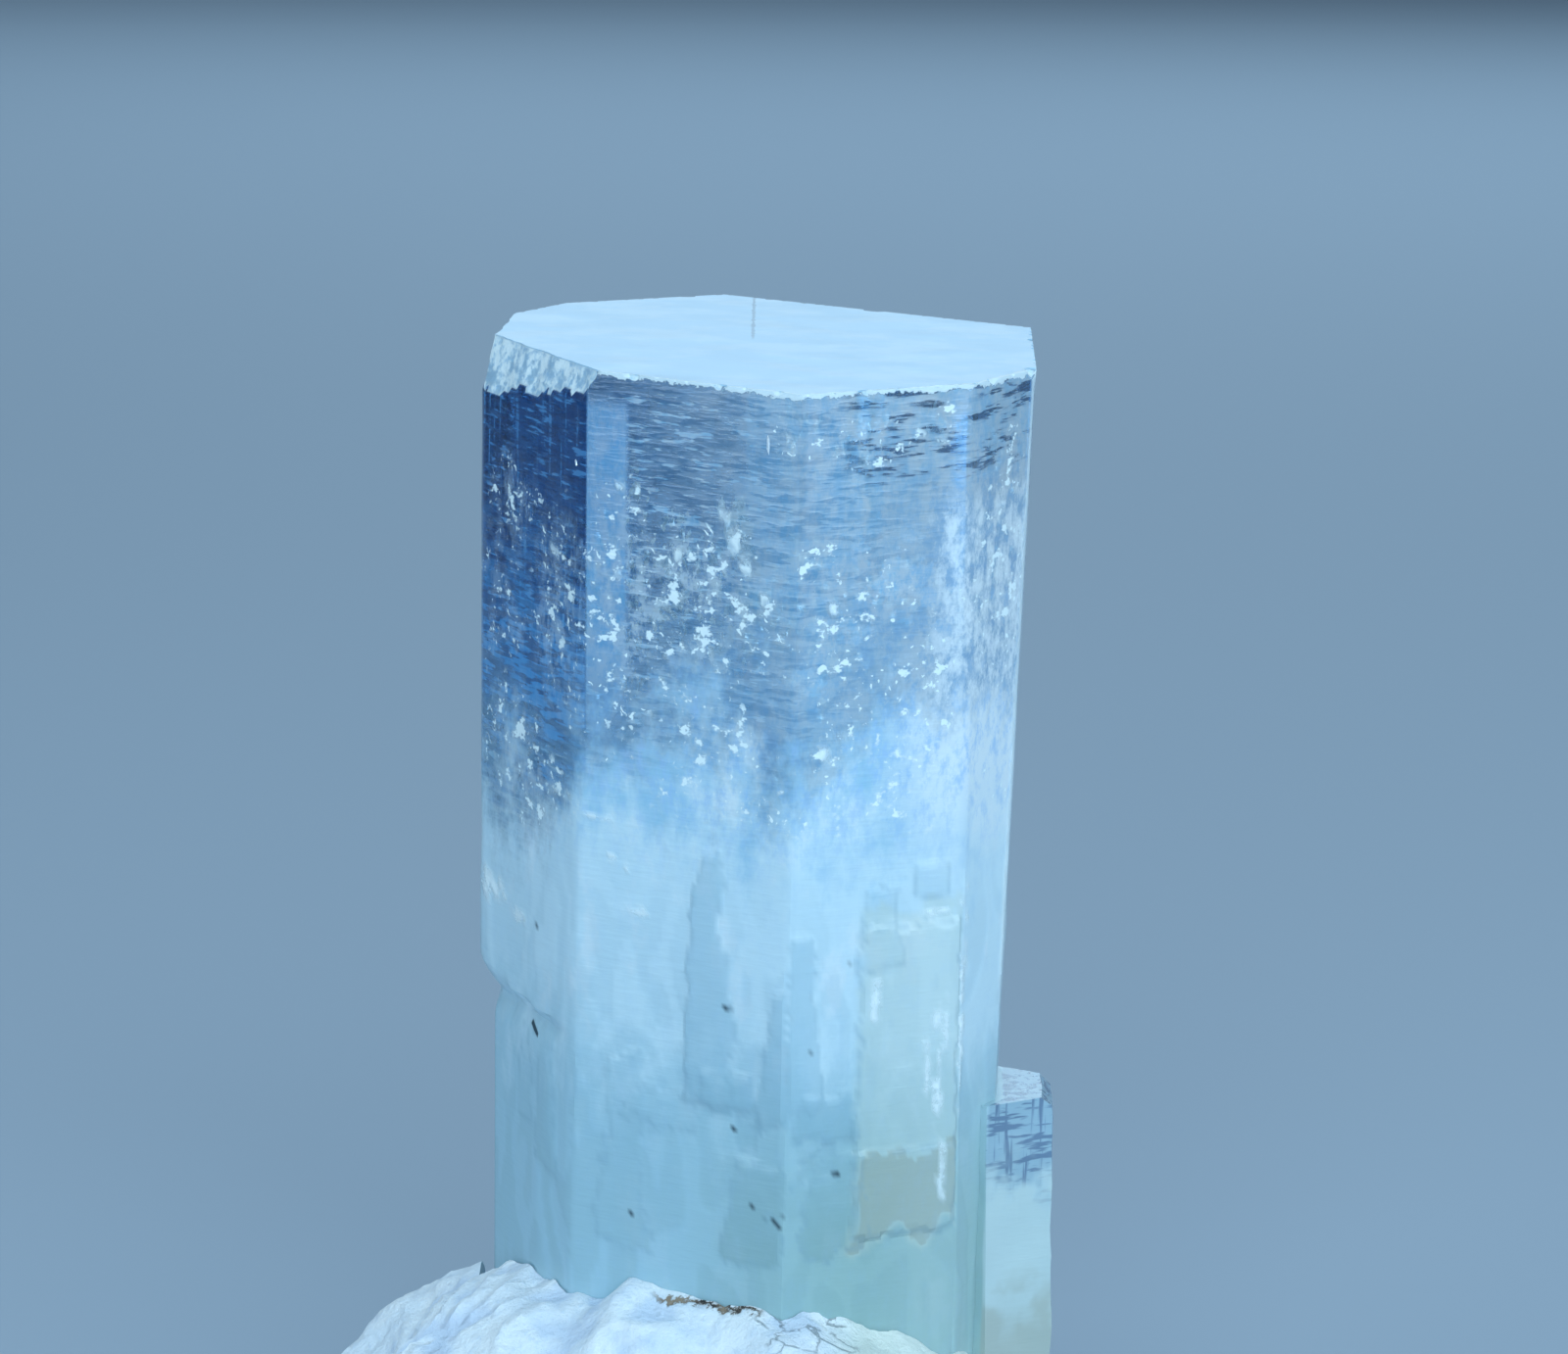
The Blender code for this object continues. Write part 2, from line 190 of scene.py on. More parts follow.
def face_ends(place, depth):
    """The two corners of a face at a depth, in the order of rising bearing."""
    count = len(PRISM_FACES)
    face = PRISM_FACES[place]
    start = corner_between(PRISM_FACES[place - 1], face, depth)
    end = corner_between(face, PRISM_FACES[(place + 1) % count], depth)
    return start, end


def face_named(name):
    for place, face in enumerate(PRISM_FACES):
        if face[0] == name:
            return place
    raise ValueError(name)


def rim_reach(bearing, depth):
    """How far the prism reaches from its axis at a bearing."""
    outward = bearing_vector(bearing)
    reaches = []
    for face in PRISM_FACES:
        facing = outward.dot(face_outward(face))
        if facing > 0.0:
            reaches.append(face_reach(face, depth) / facing)
    return min(reaches)


# ---------------------------------------------------------------------------------------
# Relief of the prism faces
# ---------------------------------------------------------------------------------------

# Growth plates of each face: offset along it, depth of the foot, width at the foot, height,
# width of the head as a share, rise, how ragged the outline is, and how much darker it is.
PLATES = {
    "front_right": (
        (1.10, 18.35, 2.56, 6.85, 0.94, 0.070, 0.15, 0.0),
        (1.12, 18.30, 2.40, 1.85, 1.00, 0.040, 0.10, 0.0),
        (1.50, 10.95, 0.95, 0.70, 0.90, 0.035, 0.08, 0.4),
        (0.30, 12.30, 1.10, 1.60, 0.80, 0.025, 0.16, 0.4),
        (-0.90, 15.98, 1.70, 0.95, 0.70, 0.040, 0.16, 0.9),
        (-1.55, 15.30, 1.15, 3.60, 0.30, 0.030, 0.18, 0.7),
        (-0.60, 18.60, 1.30, 2.10, 0.80, 0.030, 0.20, 0.7),
        (-1.00, 17.00, 1.10, 0.70, 0.70, -0.035, 0.20, 0.5),
    ),
    "front_left": (
        (0.50, 15.50, 1.42, 5.60, 0.36, 0.060, 0.15, 0.8),
        (1.00, 15.42, 1.40, 0.72, 0.90, 0.045, 0.12, 0.9),
        (2.20, 15.70, 1.10, 2.95, 0.45, 0.045, 0.18, 0.8),
        (1.45, 16.40, 0.48, 0.85, 0.80, -0.035, 0.12, 0.6),
        (1.70, 18.70, 1.50, 2.20, 0.70, 0.030, 0.22, 0.7),
        (-0.75, 16.00, 1.90, 0.70, 0.60, 0.028, 0.20, 0.3),
        (-1.60, 18.90, 1.30, 4.30, 0.60, 0.030, 0.20, 0.4),
    ),
    "left_front": (
        (0.72, 17.75, 0.95, 2.45, 0.70, 0.045, 0.12, 0.5),
        (-0.40, 16.90, 0.70, 2.10, 0.60, 0.030, 0.14, 0.3),
    ),
    "back_left": (
        (-0.60, 19.00, 1.90, 9.50, 0.75, 0.070, 0.18, 0.4),
    ),
    "back_right": (
        (1.80, 18.60, 1.30, 5.00, 0.60, 0.060, 0.18, 0.5),
        (-1.60, 19.20, 2.40, 7.40, 0.80, 0.070, 0.18, 0.3),
    ),
    "right": (
        (1.20, 17.60, 1.60, 8.20, 0.70, 0.060, 0.16, 0.4),
    ),
}
PLATE_EDGE = 0.12
TERRACE_TOP = 9.0
TERRACE_FULL = 13.0
TERRACE_WIDTH = 1.5
TERRACE_LENGTH = 3.4
TERRACE_STEPS = 3.2
TERRACE_RISE = 0.016
TERRACE_TONE = 0.30
TERRACE_EDGE = 0.22
SEED_PER_DEGREE = 0.37
HILLOCK_RISE = 0.012
CORNER_EASE = 0.030


def plate_share(plate, along, depth):
    """One on a growth plate, none off it, and in between over its edge."""
    offset, foot, width, height, head, _, ragged, _ = plate
    bend = noise.noise(Vector((along * 1.9, depth * 1.1, offset))) * ragged * 1.4
    fine = noise.noise(Vector((along * 5.0, depth * 3.6, foot))) * ragged * 0.7
    up = (foot - depth) / height
    half = 0.5 * width * (1.0 + (head - 1.0) * min(max(up, 0.0), 1.0))
    inside = min(
        half - abs(along - offset),
        foot - depth,
        depth - (foot - height),
    )
    return smooth_share((inside + bend + fine) / PLATE_EDGE + 0.5)


def terrace_level(along, depth, seed):
    """Which step a point is on, of low patches of growth that are longer than wide."""
    spot = Vector((along / TERRACE_WIDTH, depth / TERRACE_LENGTH, seed))
    level = (noise.noise(spot) + 0.35 * noise.noise(spot * 2.7)) * TERRACE_STEPS
    flat = math.floor(level)
    return flat + smooth_share((level - flat - 0.5) / TERRACE_EDGE + 0.5)


def terrace_strength(depth):
    """Nothing on the clear part, one on the milky part."""
    return smooth_share((depth - TERRACE_TOP) / (TERRACE_FULL - TERRACE_TOP))


def face_relief(face, along, depth):
    """How far a prism face stands out at a point of it."""
    seed = face[1] * SEED_PER_DEGREE
    rise = terrace_level(along, depth, seed) * terrace_strength(depth) * TERRACE_RISE
    rise += noise.noise(Vector((along * 0.9, depth * 0.5, seed + 4.0))) * HILLOCK_RISE
    for plate in PLATES.get(face[0], ()):
        rise += plate[5] * plate_share(plate, along, depth)
    return rise


def face_tone(face, along, depth):
    """How much darker than its surroundings a patch of growth is, none to one."""
    level = terrace_level(along, depth, face[1] * SEED_PER_DEGREE)
    tone = terrace_strength(depth) * TERRACE_TONE * (0.5 - 0.5 * math.cos(math.pi * level))
    for plate in PLATES.get(face[0], ()):
        tone = max(tone, plate[7] * plate_share(plate, along, depth))
    return tone


# ---------------------------------------------------------------------------------------
# The crystal's body
# ---------------------------------------------------------------------------------------

# Heights of the mesh's rows: down to a depth, and how high the rows are above it.
ROW_HEIGHTS = (
    (0.5, 0.08),
    (8.5, 0.14),
    (19.8, 0.115),
    (FOOT_DEPTH, 1.2),
)
TOP_RINGS = 22
TOP_SWELL = 0.018


def level_depths():
    """Depths of the mesh's rows: fine where the marks and relief are, coarse at the foot."""
    depths = [0.0]
    while depths[-1] < FOOT_DEPTH - 0.05:
        step = next(height for below, height in ROW_HEIGHTS if depths[-1] < below)
        depths.append(min(depths[-1] + step, FOOT_DEPTH))
    return depths


def ring_columns():
    """For each vertex of a ring: the place of its face, and its share along that face."""
    columns = []
    for place, face in enumerate(PRISM_FACES):
        for number in range(face[4]):
            columns.append((place, number / face[4]))
    return columns


def skin_point(place, share, depth):
    """A point of the prism's skin, with the relief of its face."""
    start, end = face_ends(place, depth)
    face = PRISM_FACES[place]
    flat = start.lerp(end, share)
    top_start, top_end = face_ends(place, 0.0)
    direction = (top_end - top_start).normalized()
    along = (flat - (top_start + top_end) / 2).dot(direction)
    outward = face_outward(face)
    calm = smooth_share(depth / 0.6)
    if share == 0.0:
        before = PRISM_FACES[place - 1]
        outward = (outward + face_outward(before)).normalized()
        return flat - outward * CORNER_EASE * calm
    from_corner = min(share, 1.0 - share) * (end - start).length
    fade = smooth_share(from_corner / 0.12)
    return flat + outward * face_relief(face, along, depth) * calm * fade


def ease_step(point):
    """Draw a point in to the growth step low on the left side."""
    groove, above_step, groove_width = STEP_GROOVE
    for bearing, distance in STEP_PLANES:
        outward = bearing_vector(bearing + PRISM_TURN)
        ragged = noise.noise(point * 1.7) * STEP_RAGGED
        plane = distance + point.z * math.tan(STEP_TAPER)
        out = point.dot(outward) - plane
        above = point.z + STEP_BELOW_TOP + ragged
        allowed = max(above, 0.0) / math.tan(STEP_SLOPE)
        allowed -= groove * math.exp(-((above + above_step) / groove_width) ** 2)
        if out > allowed:
            point = point - outward * (out - allowed)
    return point


def prism_skin():
    """The main prism: a ring drawn down to the foot, and drawn in over the top."""
    columns = ring_columns()
    bm = bmesh.new()
    number_of = bm.verts.layers.int.new("column")
    rim = bmesh.ops.create_circle(bm, segments=len(columns), radius=1.0)["verts"]
    for number, vert in enumerate(rim):
        vert[number_of] = number
        vert.co = skin_point(*columns[number], 0.0)
    rim_edges = bm.edges[:]
    edges = rim_edges
    for depth in level_depths()[1:]:
        verts, edges = draw_ring(bm, edges)
        for vert in verts:
            vert.co = ease_step(skin_point(*columns[vert[number_of]], depth))
    bmesh.ops.edgeloop_fill(bm, edges=edges)
    edges = rim_edges
    for ring in range(1, TOP_RINGS):
        verts, edges = draw_ring(bm, edges)
        share = 1.0 - ring / TOP_RINGS
        for vert in verts:
            base = skin_point(*columns[vert[number_of]], 0.0)
            spot = Vector((base.x * share, base.y * share, 0.0))
            swell = noise.noise(spot * 0.7) * TOP_SWELL * smooth_share((1.0 - share) * 8.0)
            vert.co = spot + Vector((0.0, 0.0, swell))
    bmesh.ops.edgeloop_fill(bm, edges=edges)
    bmesh.ops.recalc_face_normals(bm, faces=bm.faces)
    return bm


def draw_ring(bm, edges):
    """Extrude a ring of edges and give back the new ring's vertices and edges."""
    drawn = bmesh.ops.extrude_edge_only(bm, edges=edges)["geom"]
    verts = [part for part in drawn if isinstance(part, bmesh.types.BMVert)]
    new = set(verts)
    edges = []
    for part in drawn:
        if isinstance(part, bmesh.types.BMEdge) and set(part.verts) <= new:
            edges.append(part)
    return verts, edges


def side_skin():
    """The smaller prism: a block cut to six sides, with a low stepped relief."""
    bm = bmesh.new()
    bmesh.ops.create_cube(bm, size=2 * TOP_Z)
    centre = Vector((AXIS_X + SIDE_X, AXIS_Y + SIDE_Y, 0.0))
    planes = []
    for side in range(6):
        outward = bearing_vector(60.0 * side + PRISM_TURN)
        planes.append((centre + outward * SIDE_APOTHEM, outward))
    planes.append((Vector((0.0, 0.0, SIDE_TOP_Z)), Vector((0.0, 0.0, 1.0))))
    planes.append((Vector((0.0, 0.0, SIDE_FOOT_Z)), Vector((0.0, 0.0, -1.0))))
    slope = (bearing_vector(PRISM_TURN) + Vector((0.0, 0.0, 1.0))).normalized()
    corner = centre + bearing_vector(PRISM_TURN) * (SIDE_APOTHEM - SIDE_CORNER_CUT)
    planes.append((Vector((corner.x, corner.y, SIDE_TOP_Z)), slope))
    for point, normal in planes:
        cut_away(bm, point, normal)
    for number in range(1, SIDE_ROWS):
        height = SIDE_FOOT_Z + number * (SIDE_TOP_Z - SIDE_FOOT_Z) / SIDE_ROWS
        slice_through(bm, Vector((0.0, 0.0, height)), Vector((0.0, 0.0, 1.0)))
    for number in range(-5, 6):
        for turn in (0.0, 60.0, 120.0):
            across = bearing_vector(turn + PRISM_TURN)
            slice_through(bm, centre + across * (number * SIDE_COLUMN), across)
    bmesh.ops.remove_doubles(bm, verts=bm.verts, dist=0.004)
    bmesh.ops.recalc_face_normals(bm, faces=bm.faces)
    for vert in bm.verts:
        ragged = noise.noise(vert.co * 1.1) * 0.05 + noise.noise(vert.co * 3.1) * 0.018
        vert.co += (vert.co - centre).xy.normalized().to_3d() * ragged
    return bm


def cut_away(bm, point, normal):
    everything = bm.verts[:] + bm.edges[:] + bm.faces[:]
    cut = bmesh.ops.bisect_plane(
        bm, geom=everything, dist=1e-6, plane_co=point, plane_no=normal, clear_outer=True
    )
    rim = [part for part in cut["geom_cut"] if isinstance(part, bmesh.types.BMEdge)]
    if rim:
        bmesh.ops.edgeloop_fill(bm, edges=rim)


def slice_through(bm, point, normal):
    everything = bm.verts[:] + bm.edges[:] + bm.faces[:]
    bmesh.ops.bisect_plane(bm, geom=everything, dist=1e-6, plane_co=point, plane_no=normal)


# Chips along the top rim: bearing, radius. The small nicks between them are scattered.
RIM_CHIPS = (
    (-27.0, 0.42),
    (-42.0, 0.34),
    (-56.0, 0.18),
    (-71.0, 0.22),
    (-87.0, 0.18),
    (-98.0, 0.24),
    (-118.0, 0.30),
    (-131.0, 0.34),
    (12.0, 0.30),
    (64.0, 0.32),
    (104.0, 0.28),
)
NICK_SPACING = 2.1
NICK_SIZES = (0.05, 0.14)
BREAK_GRID = 64
BREAK_SIZE = 4.2
BREAK_THICKNESS = 3.0


def rough_ball(bm, centre, size, seed, roughness):
    """A faceted, lumpy ball; size gives its three half widths."""
    made = bmesh.ops.create_icosphere(bm, subdivisions=2, radius=1.0)["verts"]
    for vert in made:
        lump = 1.0 + roughness * noise.noise(vert.co * 1.6 + Vector((seed, 0.0, 0.0)))
        vert.co = Vector(a * b for a, b in zip(vert.co * lump, size))
    bmesh.ops.rotate(
        bm, verts=made, cent=(0.0, 0.0, 0.0), matrix=Matrix.Rotation(seed * 2.1, 3, "Z")
    )
    bmesh.ops.translate(bm, verts=made, vec=centre)


def chip_tools():
    """All that bites the top rim: the named chips and the small nicks between them."""
    rng = random.Random(31)
    bites = []
    for bearing, radius in RIM_CHIPS:
        bites.append((rim_point(bearing, radius), radius))
    bearing = -150.0
    while bearing < 205.0:
        bearing += NICK_SPACING * rng.uniform(0.5, 1.6)
        radius = rng.uniform(*NICK_SIZES)
        centre = rim_point(bearing, radius)
        if all((centre - at).length > 1.5 * (radius + taken) for at, taken in bites):
            bites.append((centre, radius))
    bm = bmesh.new()
    for number, (centre, radius) in enumerate(bites):
        size = (radius, radius * rng.uniform(0.9, 1.2), radius * rng.uniform(0.6, 1.0))
        rough_ball(bm, centre, size, number * 1.7, 0.4)
    return bm


def rim_point(bearing, radius):
    """The middle of a chip of that radius, a little outside and above the top rim."""
    reach = rim_reach(bearing, 0.0) + 0.50 * radius
    return bearing_vector(bearing) * reach + Vector((0.0, 0.0, 0.25 * radius))


def break_tool(end, seed):
    """A thick slab with a rough face, laid where the left corner is broken away."""
    normal = (end - BREAK_LOW).cross(BREAK_HIGH - BREAK_LOW).normalized()
    if normal.dot(BREAK_LOW) < 0.0:
        normal.negate()
    middle = (BREAK_LOW + BREAK_HIGH + end) / 3
    turn = normal.to_track_quat("Z", "Y").to_matrix()
    bm = bmesh.new()
    slab = bmesh.ops.create_grid(
        bm, x_segments=BREAK_GRID, y_segments=BREAK_GRID, size=BREAK_SIZE
    )
    for vert in slab["verts"]:
        rough = noise.noise(vert.co * 1.3 + Vector((seed, 0.0, 0.0))) * 0.07
        rough += noise.noise(vert.co * 4.0) * 0.030 + noise.noise(vert.co * 11.0) * 0.006
        vert.co = turn @ (vert.co + Vector((0.0, 0.0, rough))) + middle
    lifted = bmesh.ops.extrude_face_region(bm, geom=bm.faces[:])["geom"]
    raised = [part for part in lifted if isinstance(part, bmesh.types.BMVert)]
    bmesh.ops.translate(bm, verts=raised, vec=normal * BREAK_THICKNESS)
    bmesh.ops.recalc_face_normals(bm, faces=bm.faces)
    return bm


# ---------------------------------------------------------------------------------------
# Marks on the crystal, kept with its mesh
# ---------------------------------------------------------------------------------------

# Small dark spots of each face: offset along it, depth, radius.
SPOTS = {
    "left_front": (
        (0.33, 12.42, 0.065),
        (-0.12, 14.74, 0.060),
        (0.00, 14.79, 0.060),
        (0.12, 14.84, 0.060),
        (0.24, 14.88, 0.055),
        (0.36, 14.92, 0.050),
    ),
    "front_left": (
        (0.98, 13.24, 0.075),
        (2.19, 17.75, 0.060),
        (2.09, 17.80, 0.045),
        (2.29, 17.84, 0.050),
        (1.96, 17.70, 0.040),
        (2.38, 17.66, 0.040),
        (2.23, 17.93, 0.040),
        (1.60, 17.50, 0.050),
        (1.10, 15.90, 0.050),
        (-1.40, 18.20, 0.045),
    ),
    "front_right": (
        (-0.40, 12.17, 0.055),
        (-0.56, 16.84, 0.080),
        (-1.30, 14.10, 0.045),
        (-0.20, 18.60, 0.055),
    ),
}
# Where a face is a warm, greenish beige: offset, depth, half width and half height of a
# soft-edged upright patch, and how warm it is.
WARM_PATCHES = {
    "front_right": (
        (1.15, 14.75, 1.30, 3.65, 0.60),
        (1.15, 17.42, 1.28, 0.95, 0.95),
    ),
}
# Pale bruises of each face: offset along it, depth, half width and half height.
BRUISES = {
    "front_left": (
        (0.86, 2.75, 0.15, 0.30),
        (1.08, 3.25, 0.13, 0.32),
        (1.26, 3.78, 0.18, 0.18),
        (-0.35, 3.60, 0.10, 0.16),
        (0.35, 3.95, 0.10, 0.10),
        (1.75, 4.35, 0.14, 0.14),
        (-1.80, 2.40, 0.09, 0.13),
        (-2.35, 9.60, 0.30, 0.06),
        (-1.98, 10.40, 0.12, 0.08),
        (-1.55, 10.55, 0.10, 0.08),
        (-1.30, 11.50, 0.28, 0.10),
    ),
    "front_right": (
        (-0.46, 1.46, 0.06, 0.14),
        (-1.05, 4.55, 0.22, 0.10),
        (-1.20, 7.65, 0.14, 0.16),
        (-0.75, 7.25, 0.20, 0.10),
        (1.60, 11.30, 0.35, 0.08),
        (1.55, 14.75, 0.10, 0.60),
        (1.80, 15.30, 0.10, 0.75),
        (1.98, 13.90, 0.09, 0.45),
        (1.75, 13.60, 0.16, 0.22),
        (2.00, 17.10, 0.08, 0.75),
        (0.20, 13.00, 0.12, 0.50),
    ),
    "left_front": (
        (1.10, 4.10, 0.16, 0.30),
        (-1.76, 12.10, 0.62, 0.26),
        (-0.65, 12.45, 0.35, 0.15),
        (-2.20, 12.00, 0.26, 0.40),
        (1.20, 9.28, 0.65, 0.07),
    ),
    "right_front": (
        (-0.90, 13.50, 0.20, 2.40),
    ),
}

# Clusters: face they lie behind, offset along it, depth, half width and half height of the
# cluster, how many, the largest flake, and how much longer than wide the flakes are.
FLAKE_CLUSTERS = (
    ("front_left", 0.92, 2.90, 0.08, 0.26, 6, 0.20, 1.8),
    ("front_left", 1.20, 3.65, 0.10, 0.18, 5, 0.18, 1.4),
    ("front_left", 1.00, 3.00, 0.20, 0.45, 12, 0.12, 1.9),
    ("front_left", 0.75, 3.20, 0.12, 0.40, 6, 0.13, 2.0),
    ("front_left", 0.10, 4.05, 1.30, 0.95, 66, 0.120, 1.2),
    ("front_left", 1.30, 4.60, 0.70, 0.80, 44, 0.130, 1.2),
    ("front_left", -0.85, 5.05, 0.75, 0.20, 20, 0.150, 0.45),
    ("front_left", 0.60, 5.70, 1.10, 0.60, 34, 0.115, 1.3),
    ("front_left", -1.70, 4.90, 0.90, 2.40, 110, 0.095, 1.1),
    ("left_front", 1.20, 5.30, 1.00, 1.90, 150, 0.090, 1.0),
    ("left_front", 1.70, 4.20, 0.60, 0.80, 50, 0.110, 1.5),
    ("left_front", -0.90, 8.20, 1.20, 0.90, 70, 0.105, 0.7),
    ("left_front", 0.00, 9.40, 1.60, 0.80, 50, 0.080, 1.0),
    ("left_front", -1.00, 3.40, 0.90, 0.90, 9, 0.090, 2.0),
    ("front_left", -1.80, 2.40, 0.10, 0.10, 3, 0.130, 1.6),
    ("front_right", -1.40, 3.60, 0.60, 0.50, 20, 0.120, 1.0),
    ("front_right", 0.10, 4.30, 0.80, 0.60, 30, 0.120, 0.9),
    ("front_right", -1.10, 5.60, 0.75, 1.00, 50, 0.115, 1.2),
    ("front_right", -1.10, 8.00, 0.60, 0.45, 26, 0.140, 1.3),
    ("front_right", -1.66, 9.40, 0.10, 0.60, 10, 0.100, 1.6),
    ("front_right", -0.45, 1.46, 0.06, 0.06, 2, 0.140, 1.3),
    ("front_right", 1.45, 0.80, 0.30, 0.40, 8, 0.100, 1.8),
    ("front_right", 1.00, 6.50, 1.00, 1.60, 30, 0.090, 1.2),
    ("right_front", 0.40, 1.60, 0.50, 0.60, 14, 0.110, 1.2),
    ("right_front", 0.10, 4.20, 0.90, 2.20, 90, 0.105, 1.1),
    ("front_left", 2.30, 0.90, 0.35, 0.40, 8, 0.080, 2.4),
    ("front_right", -0.60, 1.10, 1.30, 0.45, 16, 0.070, 2.6),
    ("front_left", 0.60, 7.50, 1.20, 0.80, 36, 0.080, 1.2),
)

# Above this depth, what lies this far behind the faces is a chip or a break.
BROKEN_DEPTH = 1.7
BROKEN_RECESS = 0.05
# What stands further out than this from the main prism is the smaller one.
SIDE_BEYOND = 0.4
# The clear part above this depth has no growth patches.
GROWTH_DEPTH = 8.0


def crystal_place(point, faces):
    """The face, offset along it and depth of a point of the crystal's skin."""
    best = None
    for outward, direction, middle, face in faces:
        inside = face_reach(face, -point.z) - point.dot(outward)
        if best is None or inside < best[0]:
            best = (inside, face, (point - middle).dot(direction), -point.z)
    return best


def face_frames():
    frames = []
    for place, face in enumerate(PRISM_FACES):
        start, end = face_ends(place, 0.0)
        frames.append((face_outward(face), (end - start).normalized(), (start + end) / 2, face))
    return frames


def spot_strength(name, along, depth):
    strength = 0.0
    for offset, level, radius in SPOTS.get(name, ()):
        gap = math.hypot(along - offset, depth - level)
        strength = max(strength, smooth_share((radius * 1.3 - gap) / (radius * 0.8)))
    return strength


def warm_strength(name, along, depth):
    strength = 0.0
    ragged = noise.noise(Vector((along * 1.6, depth * 1.1, 3.0))) * 0.55
    ragged += noise.noise(Vector((along * 5.0, depth * 4.0, 8.0))) * 0.22
    for offset, level, half_width, half_height, most in WARM_PATCHES.get(name, ()):
        sides = half_width - abs(along - offset)
        ends = half_height - abs(depth - level)
        inside = min(sides + 0.3 * ragged, ends + ragged)
        strength = max(strength, most * smooth_share(inside / 0.30 + 0.5))
    return strength


def bruise_strength(name, along, depth):
    strength = 0.0
    ragged = noise.noise(Vector((along * 4.0, depth * 3.0, 21.0)))
    for offset, level, half_width, half_height in BRUISES.get(name, ()):
        gap = math.hypot((along - offset) / half_width, (depth - level) / half_height)
        strength = max(strength, smooth_share((1.3 - gap + ragged * 1.1) / 0.9))
    return strength


def crowd_strength(name, along, depth):
    """How thick the flakes are behind a point, none to one."""
    strength = 0.0
    for face, offset, level, wide, high, *_ in FLAKE_CLUSTERS:
        if face == name:
            gap = math.hypot((along - offset) / wide, (depth - level) / high)
            strength = max(strength, smooth_share((1.7 - gap) / 1.4))
    return strength


def outline_shade_strength(name, along, depth):
    """Painted shade along the growth plates' edge steps: strongest on their outlines."""
    strength = 0.0
    for plate in PLATES.get(name, ()):
        share = plate_share(plate, along, depth)
        strength = max(strength, 4.0 * share * (1.0 - share))
    return strength


def mark_crystal(crystal):
    """Give each vertex its share of every kind of mark."""
    back = crystal_placement().inverted()
    faces = face_frames()
    vertices = crystal.data.vertices
    names = ("tone", "outline_shade", "spot", "warm", "bruise", "crowd", "broken")
    shares = {name: [0.0] * len(vertices) for name in names}
    for number, vert in enumerate(vertices):
        inside, face, along, depth = crystal_place(back @ vert.co, faces)
        if depth < BROKEN_DEPTH and min(inside, depth) > BROKEN_RECESS:
            shares["broken"][number] = 1.0
        if inside < -SIDE_BEYOND:
            continue
        shares["bruise"][number] = bruise_strength(face[0], along, depth)
        shares["crowd"][number] = crowd_strength(face[0], along, depth)
        if depth > GROWTH_DEPTH:
            shares["tone"][number] = face_tone(face, along, depth)
            shares["outline_shade"][number] = outline_shade_strength(face[0], along, depth)
            shares["spot"][number] = spot_strength(face[0], along, depth)
            shares["warm"][number] = warm_strength(face[0], along, depth)
    for name, values in shares.items():
        layer = crystal.data.attributes.new(name, "FLOAT", "POINT")
        layer.data.foreach_set("value", values)


def make_crystal(material):
    placement = crystal_placement()
    skin = prism_skin()
    bmesh.ops.transform(skin, matrix=placement, verts=skin.verts)
    crystal = mesh_object("aquamarine", skin)
    tools = [break_tool(end, 9.0 * number) for number, end in enumerate(BREAK_ENDS)]
    for tool in (*tools, chip_tools()):
        bmesh.ops.transform(tool, matrix=placement, verts=tool.verts)
        combine(crystal, mesh_object("chip tool", tool), "DIFFERENCE")
    combine(crystal, mesh_object("side prism", side_skin()), "UNION")
    mark_crystal(crystal)
    shade_by_angle(crystal, 24.0)
    return hand_in(crystal, "aquamarine", material, "aquamarine_crystal")


# ---------------------------------------------------------------------------------------
# Flakes inside the crystal
# ---------------------------------------------------------------------------------------

# How far behind the faces the flakes lie, how they spread in a cluster, how near the top
# they come, and their width, thickness and height.
FLAKE_SHALLOW = 0.16
FLAKE_DEEP = 1.2
FLAKE_SPREAD = 0.55
FLAKE_TOP = 0.35
FLAKE_SHAPE = (1.1, 0.5, 1.25)


def add_flake(bm, centre, size, rng):
    """One flake: a ball of twenty faces, flattened, bent out of true and turned."""
    made = bmesh.ops.create_icosphere(bm, subdivisions=1, radius=1.0)["verts"]
    turn = Matrix.Rotation(rng.uniform(0.0, math.tau), 3, "Z")
    tilt = Matrix.Rotation(rng.uniform(-0.5, 0.5), 3, "X")
    for vert in made:
        uneven = rng.uniform(0.6, 1.25)
        shaped = Vector(a * b for a, b in zip(vert.co * uneven, size))
        vert.co = centre + turn @ tilt @ shaped


def flake_centre(place, along, depth, behind):
    start, end = face_ends(place, 0.0)
    direction = (end - start).normalized()
    outward = face_outward(PRISM_FACES[place])
    reach = face_reach(PRISM_FACES[place], depth) - behind
    middle = (start + end) / 2
    offset = middle.dot(direction) + along
    return outward * reach + direction * offset - Vector((0.0, 0.0, depth))


def make_flakes(material):
    rng = random.Random(58)
    width, thickness, height = FLAKE_SHAPE
    bm = bmesh.new()
    for name, along, depth, wide, high, count, largest, tall in FLAKE_CLUSTERS:
        place = face_named(name)
        for _ in range(count):
            size = largest * rng.uniform(0.35, 1.0)
            centre = flake_centre(
                place,
                along + rng.gauss(0.0, FLAKE_SPREAD) * wide,
                max(depth + rng.gauss(0.0, FLAKE_SPREAD) * high, FLAKE_TOP),
                rng.uniform(FLAKE_SHALLOW, FLAKE_DEEP),
            )
            add_flake(bm, centre, (size * width, size * thickness, size * height * tall), rng)
    bmesh.ops.transform(bm, matrix=crystal_placement(), verts=bm.verts)
    bmesh.ops.recalc_face_normals(bm, faces=bm.faces)
    flakes = mesh_object("white_flakes", bm)
    return hand_in(flakes, "aquamarine", material)


# ---------------------------------------------------------------------------------------
# A short way to write a material's nodes
# ---------------------------------------------------------------------------------------


